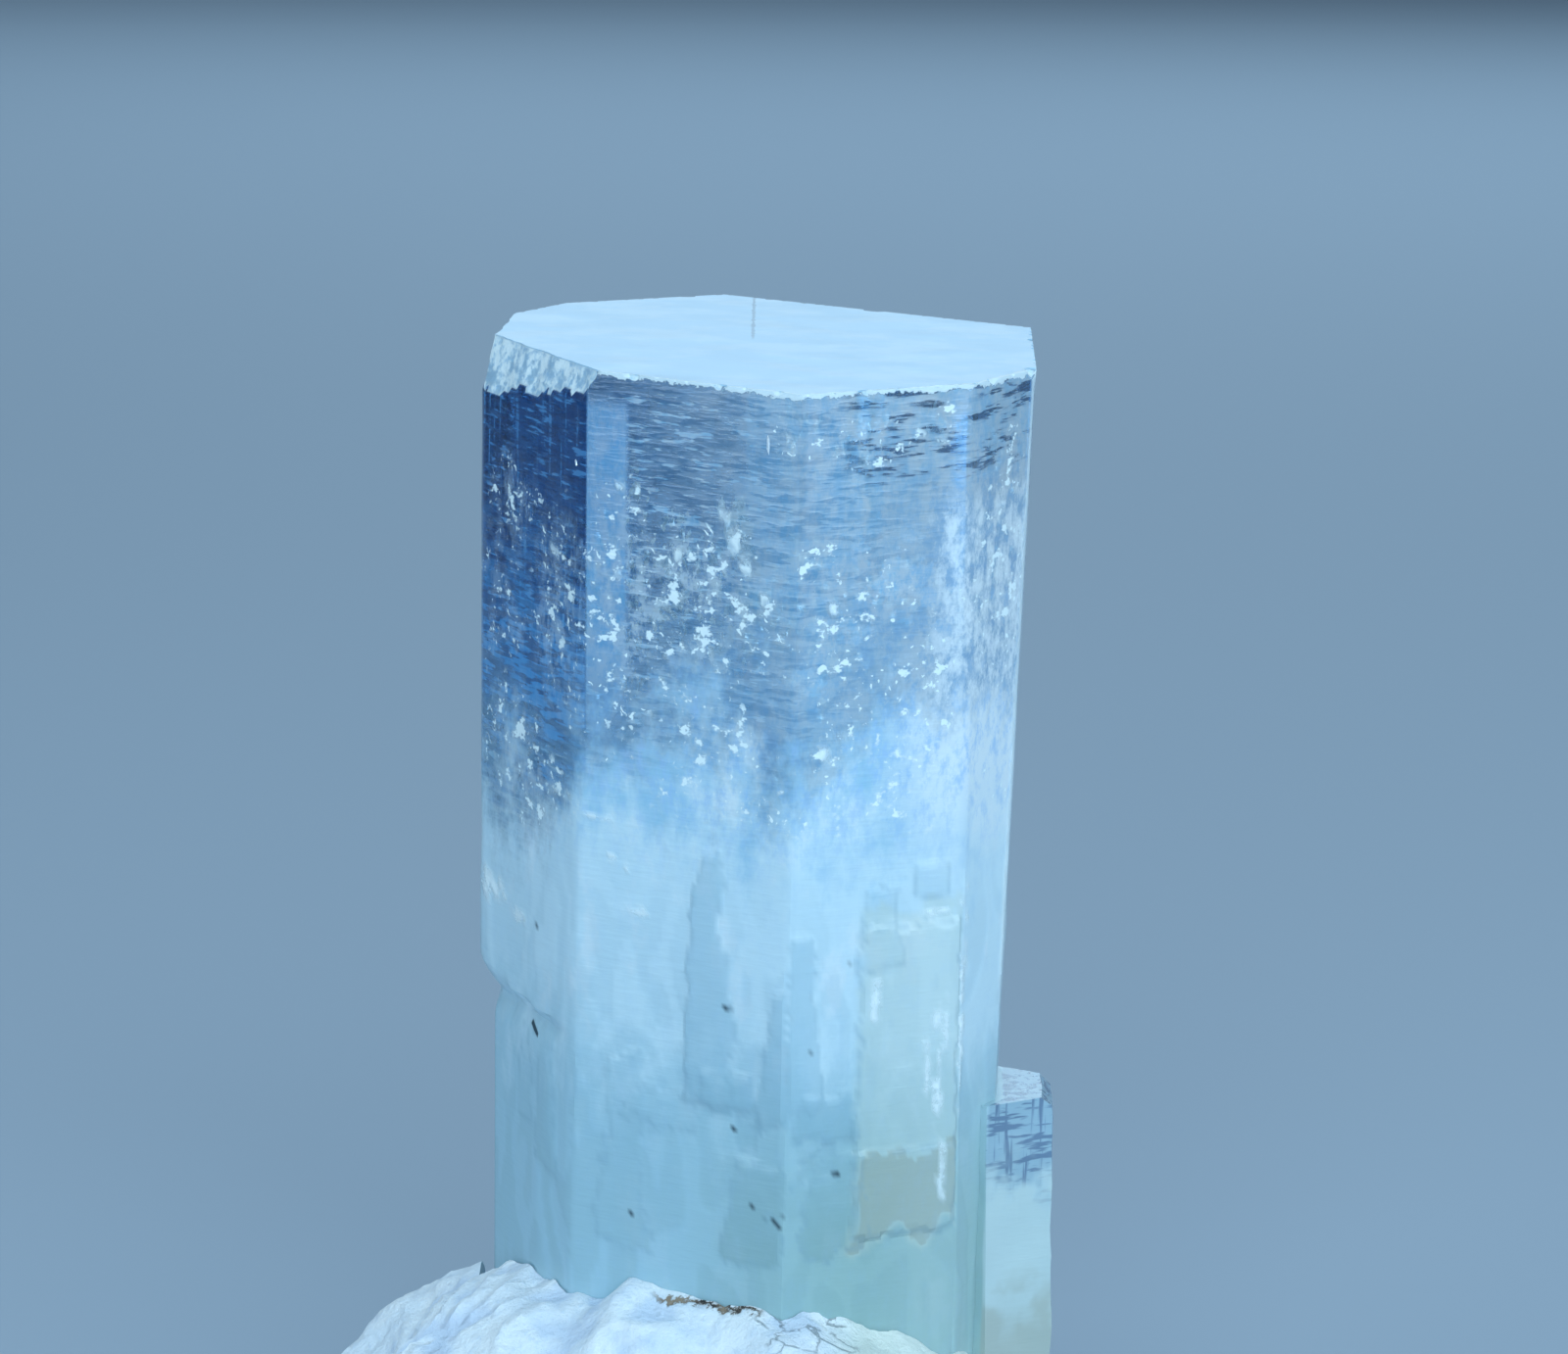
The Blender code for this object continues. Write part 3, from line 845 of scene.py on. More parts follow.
class Recipe:
    """Adds nodes to one material, each call giving back the socket that it makes."""

    def __init__(self, name):
        self.material = bpy.data.materials.new(name)
        self.material.use_nodes = True
        self.tree = self.material.node_tree
        self.shader = self.tree.nodes["Principled BSDF"]
        self.output = self.tree.nodes["Material Output"]

    def feed(self, socket, value):
        if isinstance(value, bpy.types.NodeSocket):
            self.tree.links.new(value, socket)
        elif isinstance(value, (tuple, list)) and len(value) == 3 and socket.type == "RGBA":
            socket.default_value = (*value, 1.0)
        else:
            socket.default_value = value

    def set(self, **values):
        for name, value in values.items():
            self.feed(self.shader.inputs[name.replace("_", " ")], value)

    def sum(self, operation, a, b=0.0, c=0.0, clamp=False):
        node = self.tree.nodes.new("ShaderNodeMath")
        node.operation = operation
        node.use_clamp = clamp
        for socket, value in zip(node.inputs, (a, b, c)):
            self.feed(socket, value)
        return node.outputs[0]

    def times(self, a, b):
        return self.sum("MULTIPLY", a, b)

    def plus(self, a, b):
        return self.sum("ADD", a, b)

    def less(self, a, b):
        return self.sum("SUBTRACT", a, b)

    def scaled(self, a, factor, added):
        return self.sum("MULTIPLY_ADD", a, factor, added)

    def ramp(self, value, low, high, to_low=0.0, to_high=1.0):
        node = self.tree.nodes.new("ShaderNodeMapRange")
        node.interpolation_type = "SMOOTHSTEP"
        for name, number in (
            ("Value", value),
            ("From Min", low),
            ("From Max", high),
            ("To Min", to_low),
            ("To Max", to_high),
        ):
            self.feed(node.inputs[name], number)
        return node.outputs["Result"]

    def fall(self, value, low, high):
        return self.ramp(value, low, high, 1.0, 0.0)

    def mix(self, share, a, b):
        node = self.tree.nodes.new("ShaderNodeMix")
        node.data_type = "RGBA"
        self.feed(node.inputs[0], share)
        self.feed(node.inputs[6], a)
        self.feed(node.inputs[7], b)
        return node.outputs[2]

    def grain(self, spot, scale, detail, roughness):
        node = self.tree.nodes.new("ShaderNodeTexNoise")
        self.feed(node.inputs["Vector"], spot)
        node.inputs["Scale"].default_value = scale
        node.inputs["Detail"].default_value = detail
        node.inputs["Roughness"].default_value = roughness
        return node.outputs["Fac"]

    def cells(self, spot, scale, feature="F1"):
        node = self.tree.nodes.new("ShaderNodeTexVoronoi")
        node.feature = feature
        self.feed(node.inputs["Vector"], spot)
        node.inputs["Scale"].default_value = scale
        return node.outputs["Distance"]

    def join(self, x, y, z):
        node = self.tree.nodes.new("ShaderNodeCombineXYZ")
        for socket, value in zip(node.inputs, (x, y, z)):
            self.feed(socket, value)
        return node.outputs[0]

    def stretched(self, spot, scale):
        node = self.tree.nodes.new("ShaderNodeMapping")
        self.feed(node.inputs["Vector"], spot)
        node.inputs["Scale"].default_value = scale
        return node.outputs["Vector"]

    def along(self, spot, direction):
        node = self.tree.nodes.new("ShaderNodeVectorMath")
        node.operation = "DOT_PRODUCT"
        self.feed(node.inputs[0], spot)
        node.inputs[1].default_value = direction
        return node.outputs["Value"]

    def split(self, spot):
        node = self.tree.nodes.new("ShaderNodeSeparateXYZ")
        self.feed(node.inputs[0], spot)
        return node.outputs[0], node.outputs[1], node.outputs[2]

    def bump(self, height, strength, distance):
        node = self.tree.nodes.new("ShaderNodeBump")
        node.inputs["Strength"].default_value = strength
        node.inputs["Distance"].default_value = distance
        self.feed(node.inputs["Height"], height)
        return node.outputs["Normal"]

    def all_of(self, *shares):
        whole = shares[0]
        for share in shares[1:]:
            whole = self.times(whole, share)
        return whole

    def either(self, *shares):
        most = shares[0]
        for share in shares[1:]:
            most = self.sum("MAXIMUM", most, share)
        return most

    def mark(self, name):
        node = self.tree.nodes.new("ShaderNodeAttribute")
        node.attribute_name = name
        return node.outputs["Fac"]

    def own_millimetres(self, location, rotation):
        """Object coordinates in millimetres, from a point and turned by an angle."""
        place = self.tree.nodes.new("ShaderNodeTexCoord")
        node = self.tree.nodes.new("ShaderNodeMapping")
        node.vector_type = "TEXTURE"
        self.tree.links.new(place.outputs["Object"], node.inputs["Vector"])
        node.inputs["Location"].default_value = [value * MM for value in location]
        node.inputs["Rotation"].default_value = rotation
        node.inputs["Scale"].default_value = (MM, MM, MM)
        return node.outputs["Vector"]


# ---------------------------------------------------------------------------------------
# Finishes
# ---------------------------------------------------------------------------------------

BERYL_IOR = 1.57
BERYL_TINT = (0.34, 0.76, 0.957, 1.0)
BERYL_DENSITY = 55.0
CLEAR = (0.80, 0.94, 1.0)
SKY = (0.28, 0.68, 0.98)
# Painted light: the lit light-blue strip just right of the front edge.
PAINTED_LIT_STRIP = (0.14, 0.48, 0.88)
PALE_SKY = (0.62, 0.87, 1.0)
# Painted shade and light: navy of a dark surround seen through the left face, its painted lit
# lower part and painted lighter streaks.
PAINTED_NAVY_SHADE = (0.002, 0.11, 0.37)
PAINTED_NAVY_LIT = (0.08, 0.40, 0.80)
PAINTED_NAVY_LIGHT_STREAK = (0.10, 0.36, 0.68)
# Painted shade: dark dashes where growth lines show a dark surround through the stone.
PAINTED_NAVY_DARK_DASH = (0.001, 0.035, 0.16)
PAINTED_DARK_DASH = (0.10, 0.28, 0.44)
PAINTED_DARKEST_DASH = (0.05, 0.20, 0.42)
LAVENDER = (0.44, 0.67, 0.94)
CLOUD = (0.90, 0.98, 1.0)
MILK_UPPER = (0.39, 0.68, 0.86)
MILK = (0.72, 0.91, 0.97)
MILK_LOW = (0.47, 0.71, 0.80)
MILK_GREEN = (0.40, 0.60, 0.57)
WARM = (0.66, 0.76, 0.64)
WARM_DARK = (0.40, 0.48, 0.41)
# White of the frost, bruises and flecks, and of the painted highlights and glints.
FROST_AND_HIGHLIGHT_WHITE = (0.88, 0.98, 0.98)
FROST_BLUE = (0.62, 0.86, 0.96)
# Painted reflection: the flat top's pale sky blue.
TOP_PAINTED_SKY_REFLECTION = (0.46, 0.75, 0.93)
TOP_PAINTED_PALE_REFLECTION = (0.58, 0.82, 0.95)
TOP_CRACK = (0.12, 0.26, 0.36)
# Painted shade: dark lines along the growth plates' edges.
OUTLINE_PAINTED_SHADE = (0.27, 0.45, 0.55)
BLACK_SPOT = (0.03, 0.06, 0.08)
SIDE_PALE = (0.72, 0.88, 0.87)
SIDE_FOOT = (0.58, 0.66, 0.60)
# Painted shade: dark lines in the side crystal's window.
SIDE_PAINTED_DARK_LINE = (0.24, 0.36, 0.54)
GROWTH_DARK = (0.32, 0.55, 0.66)
GROWTH_DARK_LOW = (0.25, 0.42, 0.42)

# The slanting black mark: its depth at the middle of the face, how fast it falls, its ends.
TICK_DEPTH = 14.785
TICK_SLOPE = 0.375
TICK_ENDS = (-0.17, 0.35)
TICK_BLUR = 0.03
# The fine crack across the top.
CRACK_X = -0.165
CRACK_Y = (0.2, 7.0)


class CrystalRecipe(Recipe):
    """A recipe that knows where it is on the crystal."""

    def __init__(self, name):
        super().__init__(name)
        turn = crystal_placement().to_euler()
        self.spot = self.own_millimetres((AXIS_X, AXIS_Y, TOP_Z), turn)
        self.x, self.y, z = self.split(self.spot)
        self.depth = self.times(z, -1.0)

    def inside(self, name):
        """Millimetres behind a prism face."""
        _, _, distance, taper, _ = face = PRISM_FACES[face_named(name)]
        lean = self.times(self.depth, math.tan(math.radians(taper)))
        reach = self.less(distance, lean)
        return self.less(reach, self.along(self.spot, face_outward(face)))

    def offset(self, name):
        """Millimetres along a face from its middle."""
        start, end = face_ends(face_named(name), 0.0)
        direction = (end - start).normalized()
        middle = (start + end) / 2
        return self.less(self.along(self.spot, direction), middle.dot(direction))

    def streaks(self, width, height):
        """Noise in streaks of about that width round the crystal and height up it."""
        scale = (1.0 / width, 1.0 / width, 1.0 / height)
        return self.grain(self.stretched(self.spot, scale), 1.0, 2.0, 0.6)


class AquamarineRecipe(CrystalRecipe):
    """The crystal's recipe, with the growth textures that several of its parts share."""

    def __init__(self, name):
        super().__init__(name)
        self.mottle = self.grain(self.stretched(self.spot, (2.8, 2.8, 1.7)), 1.0, 5.0, 0.75)
        self.dashes = self.streaks(0.85, 0.135)
        self.bands = self.streaks(1.7, 0.24)
        self.pale_dashes = self.streaks(0.75, 0.115)
        self.threads = self.streaks(0.17, 2.4)


def clear_part(mix):
    """Colour of the clear upper part, with its painted shade and painted light, and how much cloud
    and how much painted lit blue is in it.
    """
    depth, x = mix.depth, mix.x
    left = mix.offset("front_left")

    # Painted shade: deep navy left of the front edge, standing for a dark surround seen through
    # the stone, with painted lit and lighter streaks; a painted lit light-blue strip just right of
    # it.
    uneven = mix.ramp(mix.bands, 0.3, 0.7, -1.6, 1.6)
    blue = mix.all_of(
        mix.fall(left, -2.66, -2.58),
        mix.fall(mix.plus(depth, uneven), 6.8, 10.6),
    )
    # Painted light: the lit strip just right of the front edge.
    painted_lit_beside = mix.all_of(
        mix.ramp(left, -2.66, -2.58),
        mix.fall(left, -1.70, -1.46),
        mix.ramp(depth, 0.3, 0.9),
        mix.fall(depth, 6.0, 9.0),
    )
    pale = mix.ramp(mix.pale_dashes, 0.53, 0.64)
    upright = mix.ramp(mix.threads, 0.57, 0.68)
    colour = mix.mix(blue, CLEAR, PAINTED_NAVY_SHADE)
    painted_lighter = mix.all_of(blue, mix.either(pale, upright))
    painted_lighter = mix.times(painted_lighter, 0.72)
    colour = mix.mix(painted_lighter, colour, PAINTED_NAVY_LIGHT_STREAK)
    painted_brighter = mix.all_of(blue, mix.ramp(mix.plus(depth, uneven), 3.0, 6.5, 0.0, 0.85))
    colour = mix.mix(painted_brighter, colour, PAINTED_NAVY_LIT)
    # Painted shade: dark dashes where growth lines show a dark surround through the stone.
    dark = mix.either(mix.ramp(mix.dashes, 0.51, 0.58), mix.ramp(mix.bands, 0.52, 0.60, 0.0, 0.65))
    dark = mix.all_of(
        dark,
        mix.ramp(depth, 0.08, 0.3),
        mix.ramp(painted_lit_beside, 0.0, 1.0, 0.75, 0.15),
        mix.ramp(x, 1.5, 3.5, 1.0, 0.5),
    )
    colour = mix.mix(dark, colour, mix.mix(blue, PAINTED_DARK_DASH, PAINTED_NAVY_DARK_DASH))
    painted_darkest = mix.all_of(
        mix.ramp(mix.dashes, 0.45, 0.60),
        mix.ramp(mix.bands, 0.40, 0.58),
        mix.ramp(x, 1.4, 2.4),
        mix.fall(depth, 1.6, 2.3),
    )
    colour = mix.mix(mix.times(painted_darkest, 0.48), colour, PAINTED_DARKEST_DASH)
    colour = mix.mix(mix.times(painted_lit_beside, 0.80), colour, PAINTED_LIT_STRIP)

    # Pale dashes, upright wisps, and veils that thicken to the right and downwards.
    dashed = mix.all_of(pale, mix.ramp(depth, 0.1, 0.5), mix.ramp(blue, 0.0, 1.0, 0.58, 0.16))
    veils = mix.grain(mix.stretched(mix.spot, (0.50, 0.50, 0.80)), 1.0, 5.0, 0.66)
    veils = mix.all_of(
        mix.ramp(veils, 0.40, 0.58),
        mix.ramp(x, -3.4, 2.2, 0.08, 0.70),
        mix.ramp(depth, 0.8, 3.6, 0.2, 1.0),
    )
    haze = mix.all_of(mix.ramp(x, -3.4, 2.2, 0.08, 0.58), mix.ramp(painted_darkest, 0.0, 1.0, 1.0, 0.2))
    wisps = mix.all_of(upright, mix.ramp(depth, 1.0, 2.0, 0.0, 0.5), mix.ramp(x, -2.6, 0.0))
    cloud = mix.either(dashed, veils, haze, wisps, mix.times(painted_lit_beside, 0.50))
    cloud = mix.all_of(cloud, mix.ramp(blue, 0.0, 1.0, 1.0, 0.25))
    return colour, cloud, mix.either(painted_lighter, mix.times(painted_brighter, 0.8))


def milkiness(mix, right):
    """How milky the stone is, from its clear top down to its cloudy foot."""
    billows = mix.grain(mix.stretched(mix.spot, (0.55, 0.55, 0.42)), 1.0, 5.0, 0.68)
    billows = mix.times(mix.less(billows, 0.5), 9.0)
    edge = mix.ramp(mix.x, -5.4, -2.0, 9.3, 6.8)
    edge = mix.plus(edge, mix.ramp(mix.x, 0.4, 4.0, 0.0, -1.3))
    level = mix.plus(mix.less(mix.depth, edge), billows)
    return mix.either(mix.ramp(level, -2.6, 2.6), right)


def milk_colours(mix):
    """Sky blue where the milk begins, palest below that, then deeper and greener."""
    depth = mix.depth
    puffs = mix.grain(mix.stretched(mix.spot, (0.75, 0.75, 0.48)), 1.0, 5.0, 0.64)
    level = mix.scaled(puffs, 9.0, mix.less(depth, 4.5))
    colour = mix.mix(mix.ramp(level, 7.6, 10.4), MILK_UPPER, MILK)
    colour = mix.mix(mix.ramp(level, 12.5, 16.5), colour, MILK_LOW)
    greener = mix.all_of(mix.ramp(depth, 13.8, 19.0), mix.ramp(mix.x, -2.4, 2.6))
    colour = mix.mix(greener, colour, MILK_GREEN)
    puffed = mix.ramp(puffs, 0.52, 0.68, 0.0, 0.6)
    puffed = mix.all_of(puffed, mix.ramp(depth, 12.5, 16.5, 1.0, 0.15))
    colour = mix.mix(puffed, colour, CLOUD)
    darker = mix.mix(mix.ramp(depth, 14.0, 19.0), GROWTH_DARK, GROWTH_DARK_LOW)
    colour = mix.mix(mix.times(mix.mark("tone"), 0.60), colour, darker)
    warm = mix.mark("warm")
    colour = mix.mix(mix.times(warm, 0.7), colour, WARM)
    return mix.mix(mix.ramp(warm, 0.62, 0.92, 0.0, 0.75), colour, WARM_DARK)


def sparks(mix):
    """White flecks and fine glints, partly the flakes' own white and partly painted glints,
    thickest over the crowds of flakes, and the thin veil round them."""
    crowd = mix.mark("crowd")
    edge = mix.all_of(
        mix.ramp(mix.grain(mix.spot, 0.60, 3.0, 0.65), 0.48, 0.60),
        mix.ramp(mix.depth, 1.8, 3.8),
        mix.fall(mix.depth, 8.5, 10.5),
        0.6,
    )
    thick = mix.either(crowd, edge)
    flecks = mix.grain(mix.stretched(mix.spot, (1.0, 1.0, 1.3)), 2.5, 3.0, 0.58)
    flecks = mix.ramp(mix.scaled(thick, 0.075, flecks), 0.625, 0.715)
    shaken = mix.grain(mix.spot, 3.0, 1.0, 0.5)
    spot = mix.join(
        mix.scaled(shaken, 0.5, mix.x),
        mix.scaled(shaken, -0.6, mix.y),
        mix.scaled(shaken, 0.7, mix.depth),
    )
    # Painted glints: small white spots where flakes near the surface would catch the light.
    glints = mix.fall(mix.cells(mix.stretched(spot, (1.0, 1.0, 1.2)), 4.2), 0.16, 0.27)
    glints = mix.all_of(glints, mix.ramp(mix.mottle, 0.48, 0.56))
    white = mix.all_of(mix.either(flecks, glints), mix.ramp(thick, 0.05, 0.45))
    veil = mix.all_of(thick, mix.ramp(mix.mottle, 0.38, 0.60), 0.42)
    return white, veil


def frost_and_highlights(mix):
    """The bruised rim of the top, partly frost and partly a painted highlight, a painted highlight
    down the sharp right edge, and the broken places.
    """
    crumbs = mix.grain(mix.spot, 3.2, 4.0, 0.7)
    ragged = mix.ramp(crumbs, 0.3, 0.7, 0.02, 0.15)
    fronts = []
    for name in ("left_front", "front_left", "front_right", "right_front"):
        fronts.append(mix.inside(name))
    nearest = fronts[0]
    for inside in fronts[1:]:
        nearest = mix.sum("MINIMUM", nearest, inside)
    # The white rim: frosted chips and a painted highlight.
    rim = mix.all_of(
        mix.ramp(mix.less(mix.depth, ragged), -0.01, 0.03, 0.9, 0.0),
        mix.fall(mix.less(nearest, ragged), -0.01, 0.03),
    )
    # Painted highlight: a thin white line down the right edge.
    corner = mix.plus(fronts[3], mix.inside("right"))
    corner = mix.all_of(
        mix.fall(corner, 0.05, 0.14),
        mix.ramp(mix.depth, 12.0, 15.0, 0.8, 0.0),
    )
    broken = mix.ramp(mix.mark("broken"), 0.0, 0.5)
    broken = mix.all_of(broken, mix.ramp(crumbs, 0.4, 0.6, 0.75, 1.0))
    bruised = mix.all_of(mix.mark("bruise"), mix.ramp(crumbs, 0.36, 0.52, 0.40, 1.0))
    return mix.either(broken, rim, corner, bruised), crumbs


def dark_tick(mix):
    """The short slanting black mark low on the left."""
    along = mix.offset("left_front")
    line = mix.scaled(along, TICK_SLOPE, TICK_DEPTH)
    gap = mix.sum("ABSOLUTE", mix.less(mix.depth, line))
    return mix.all_of(
        mix.fall(gap, 0.035, 0.065),
        mix.ramp(along, TICK_ENDS[0] - TICK_BLUR, TICK_ENDS[0] + TICK_BLUR),
        mix.fall(along, TICK_ENDS[1] - TICK_BLUR, TICK_ENDS[1] + TICK_BLUR),
        mix.fall(mix.inside("left_front"), 0.8, 1.0),
    )


def side_crystal(mix):
    """Where the small side crystal is, its colour and its cover: a clearer window under its top
    with painted dark lines, shade of a dark surround seen through it, pale below, greyish at its
    foot."""
    beyond = mix.either(
        mix.times(mix.inside("right"), -1.0),
        mix.times(mix.inside("right_front"), -1.0),
    )
    uneven = mix.ramp(mix.grain(mix.spot, 1.6, 2.0, 0.5), 0.3, 0.7, -0.4, 0.4)
    window = mix.fall(mix.plus(mix.depth, uneven), 16.9, 18.3)
    colour = mix.mix(mix.ramp(mix.plus(mix.depth, uneven), 19.7, 21.1), SIDE_PALE, SIDE_FOOT)
    # Painted shade: dark lines in the window where a dark surround shows through.
    lined = mix.either(mix.ramp(mix.dashes, 0.50, 0.60), mix.ramp(mix.threads, 0.52, 0.62))
    lined = mix.mix(mix.times(lined, 0.9), PALE_SKY, SIDE_PAINTED_DARK_LINE)
    colour = mix.mix(window, colour, lined)
    return mix.ramp(beyond, 0.13, 0.20), colour, mix.ramp(window, 0.0, 1.0, 0.66, 0.45)


def top_face(mix):
    """Where the flat top is, and its painted pale sky-blue reflection, with the fine crack across
    it.
    """
    patches = mix.grain(mix.stretched(mix.spot, (0.45, 0.6, 0.5)), 1.0, 4.0, 0.6)
    colour = mix.mix(mix.ramp(patches, 0.42, 0.62), TOP_PAINTED_SKY_REFLECTION, TOP_PAINTED_PALE_REFLECTION)
    crack = mix.sum("ABSOLUTE", mix.less(mix.x, CRACK_X))
    crack = mix.less(crack, mix.ramp(mix.mottle, 0.35, 0.65, 0.0, 0.035))
    crack = mix.all_of(
        mix.ramp(crack, 0.005, 0.030, 0.75, 0.0),
        mix.ramp(mix.y, CRACK_Y[0], CRACK_Y[0] + 0.8),
        mix.fall(mix.y, CRACK_Y[1] - 0.5, CRACK_Y[1]),
    )
    return mix.fall(mix.depth, 0.02, 0.06), mix.mix(crack, colour, TOP_CRACK)


def aquamarine_finish():
    mix = AquamarineRecipe("aquamarine")
    depth, x, mottle = mix.depth, mix.x, mix.mottle

    clear_colour, cloud, painted_lit_blue = clear_part(mix)
    right = mix.all_of(
        mix.ramp(x, 2.2, 4.3),
        mix.ramp(depth, 1.0, 3.0, 0.0, 0.95),
        mix.ramp(mottle, 0.32, 0.66, 0.55, 1.0),
    )
    milky = milkiness(mix, right)
    milk_colour = milk_colours(mix)
    upper = mix.ramp(depth, 8.0, 11.0, 1.0, 0.1)
    milk_colour = mix.mix(mix.all_of(upper, mix.ramp(x, 2.4, 4.2)), milk_colour, CLOUD)
    spotted = mix.all_of(mix.ramp(mottle, 0.34, 0.56, 0.8, 0.0), upper)
    milk_colour = mix.mix(spotted, milk_colour, LAVENDER)

    cloud_colour = mix.mix(mix.ramp(mottle, 0.34, 0.68), SKY, CLOUD)
    colour = mix.mix(cloud, clear_colour, cloud_colour)
    colour = mix.mix(milky, colour, milk_colour)
    # Painted shade along the growth plates' edge steps.
    colour = mix.mix(mix.times(mix.mark("outline_shade"), 0.30), colour, OUTLINE_PAINTED_SHADE)
    cover = mix.times(mix.either(milky, cloud, painted_lit_blue), 0.76)

    side, side_colour, side_cover = side_crystal(mix)
    colour = mix.mix(side, colour, side_colour)
    cover = mix.scaled(side, mix.less(side_cover, cover), cover)

    top, top_reflection_colour = top_face(mix)
    frost_and_highlight, crumbs = frost_and_highlights(mix)
    broken_colour = mix.mix(mix.ramp(crumbs, 0.42, 0.58), FROST_BLUE, FROST_AND_HIGHLIGHT_WHITE)
    glints, veil = sparks(mix)
    # White of the flecks, frost and bruises, with the painted glints and edge highlights.
    white = mix.either(glints, frost_and_highlight)
    colour = mix.mix(top, colour, top_reflection_colour)
    colour = mix.mix(veil, colour, CLOUD)
    colour = mix.mix(white, colour, mix.mix(mix.mark("broken"), FROST_AND_HIGHLIGHT_WHITE, broken_colour))
    black = mix.either(mix.mark("spot"), dark_tick(mix))
    colour = mix.mix(black, colour, BLACK_SPOT)
    cover = mix.either(
        cover,
        veil,
        mix.times(top, 0.62),
        mix.times(white, 0.88),
        black,
    )
    rough = mix.either(
        mix.ramp(milky, 0.0, 1.0, 0.02, 0.24),
        mix.times(top, 0.32),
        mix.times(frost_and_highlight, 0.50),
    )
    height = mix.scaled(frost_and_highlight, mottle, mix.times(mix.dashes, 0.3))
    mix.set(
        Base_Color=colour,
        Transmission_Weight=mix.sum("SUBTRACT", 0.98, cover, clamp=True),
        Roughness=rough,
        IOR=BERYL_IOR,
        Normal=mix.bump(height, 0.35, 0.0001),
    )

    absorb = mix.tree.nodes.new("ShaderNodeVolumeAbsorption")
    absorb.inputs["Color"].default_value = BERYL_TINT
    absorb.inputs["Density"].default_value = BERYL_DENSITY
    mix.tree.links.new(absorb.outputs[0], mix.output.inputs["Volume"])
    return mix.material


def flake_finish():
    mix = Recipe("white flakes")
    spot = mix.own_millimetres((0.0, 0.0, 0.0), (0.0, 0.0, 0.0))
    glint = mix.grain(spot, 6.0, 2.0, 0.5)
    mix.set(
        Base_Color=mix.mix(mix.ramp(glint, 0.4, 0.6), (0.86, 0.95, 1.0), (1.0, 1.0, 1.0)),
        Roughness=mix.ramp(glint, 0.3, 0.7, 0.15, 0.35),
        Metallic=0.35,
    )
    return mix.material


ALBITE = (0.80, 0.87, 0.92)
ALBITE_PALE = (0.90, 0.94, 0.95)
# Painted shade: blue-violet in the hollows of the albite.
ALBITE_PAINTED_HOLLOW_SHADE = (0.54, 0.66, 0.84)
ALBITE_SPECK = (0.58, 0.70, 0.84)
ALBITE_WARM = (0.84, 0.90, 0.78)
RUST = (0.26, 0.17, 0.08)
BLACK_STAIN = (0.025, 0.022, 0.02)
CRACK_GREY = (0.20, 0.25, 0.27)


def contact_stain(mix, fine):
    """The rusty crack along the crystal's foot, black at its widest, and the fine
    angular cracks to the right of it: rust, black and grey shares."""
    outside = mix.either(
        mix.times(mix.inside("front_left"), -1.0),
        mix.times(mix.inside("front_right"), -1.0),
    )
    wander = mix.ramp(fine, 0.3, 0.7, -0.11, 0.11)
    line = mix.ramp(mix.x, -1.7, -0.7, 0.30, 0.10)
    gap = mix.sum("ABSOLUTE", mix.less(mix.plus(outside, wander), line))
    reach = mix.all_of(mix.ramp(mix.x, -1.95, -1.6), mix.fall(mix.x, 0.3, 0.6))
    rust = mix.all_of(mix.fall(gap, 0.03, 0.11), reach)
    wide = mix.all_of(mix.ramp(mix.x, -1.1, -0.8), mix.fall(mix.x, -0.55, -0.3))
    black = mix.fall(gap, 0.02, 0.07)
    black = mix.all_of(black, mix.either(wide, mix.ramp(mix.x, -0.3, -0.2, 0.0, 0.9)), reach)
    shaken = mix.join(
        mix.scaled(fine, 0.5, mix.x),
        mix.scaled(fine, -0.4, mix.y),
        mix.depth,
    )
    cracks = mix.fall(mix.cells(shaken, 1.5, "DISTANCE_TO_EDGE"), 0.01, 0.05)
    cracks = mix.all_of(
        cracks,
        mix.ramp(mix.grain(mix.spot, 1.6, 2.0, 0.5), 0.46, 0.56),
        mix.ramp(mix.x, 0.1, 0.4),
        mix.fall(mix.x, 2.4, 2.9),
        mix.ramp(outside, 0.7, 1.5, 0.85, 0.0),
        mix.fall(mix.y, -4.0, -3.0),
    )
    return rust, black, cracks


def albite_finish():
    mix = CrystalRecipe("albite")
    patches = mix.grain(mix.spot, 0.7, 4.0, 0.6)
    fine = mix.grain(mix.spot, 5.0, 5.0, 0.65)
    colour = mix.mix(mix.ramp(patches, 0.35, 0.65), ALBITE, ALBITE_PALE)
    # Painted shade: blue-violet in the hollows between the wrinkles.
    colour = mix.mix(mix.times(mix.mark("hollow_shade"), 0.55), colour, ALBITE_PAINTED_HOLLOW_SHADE)
    colour = mix.mix(mix.ramp(fine, 0.52, 0.72, 0.0, 0.4), colour, ALBITE_SPECK)
    warm = mix.all_of(mix.ramp(mix.x, 1.6, 2.8), mix.ramp(mix.y, -3.0, -2.0, 0.75, 0.0))
    colour = mix.mix(warm, colour, ALBITE_WARM)
    rust, black, cracks = contact_stain(mix, fine)
    colour = mix.mix(mix.times(cracks, 0.8), colour, CRACK_GREY)
    colour = mix.mix(mix.times(rust, 0.90), colour, RUST)
    colour = mix.mix(black, colour, BLACK_STAIN)
    height = mix.less(fine, mix.either(rust, black, cracks))
    mix.set(
        Base_Color=colour,
        Roughness=mix.ramp(fine, 0.3, 0.7, 0.40, 0.75),
        Normal=mix.bump(height, 0.6, 0.0002),
    )
    return mix.material


# ---------------------------------------------------------------------------------------
# The albite lump
# ---------------------------------------------------------------------------------------

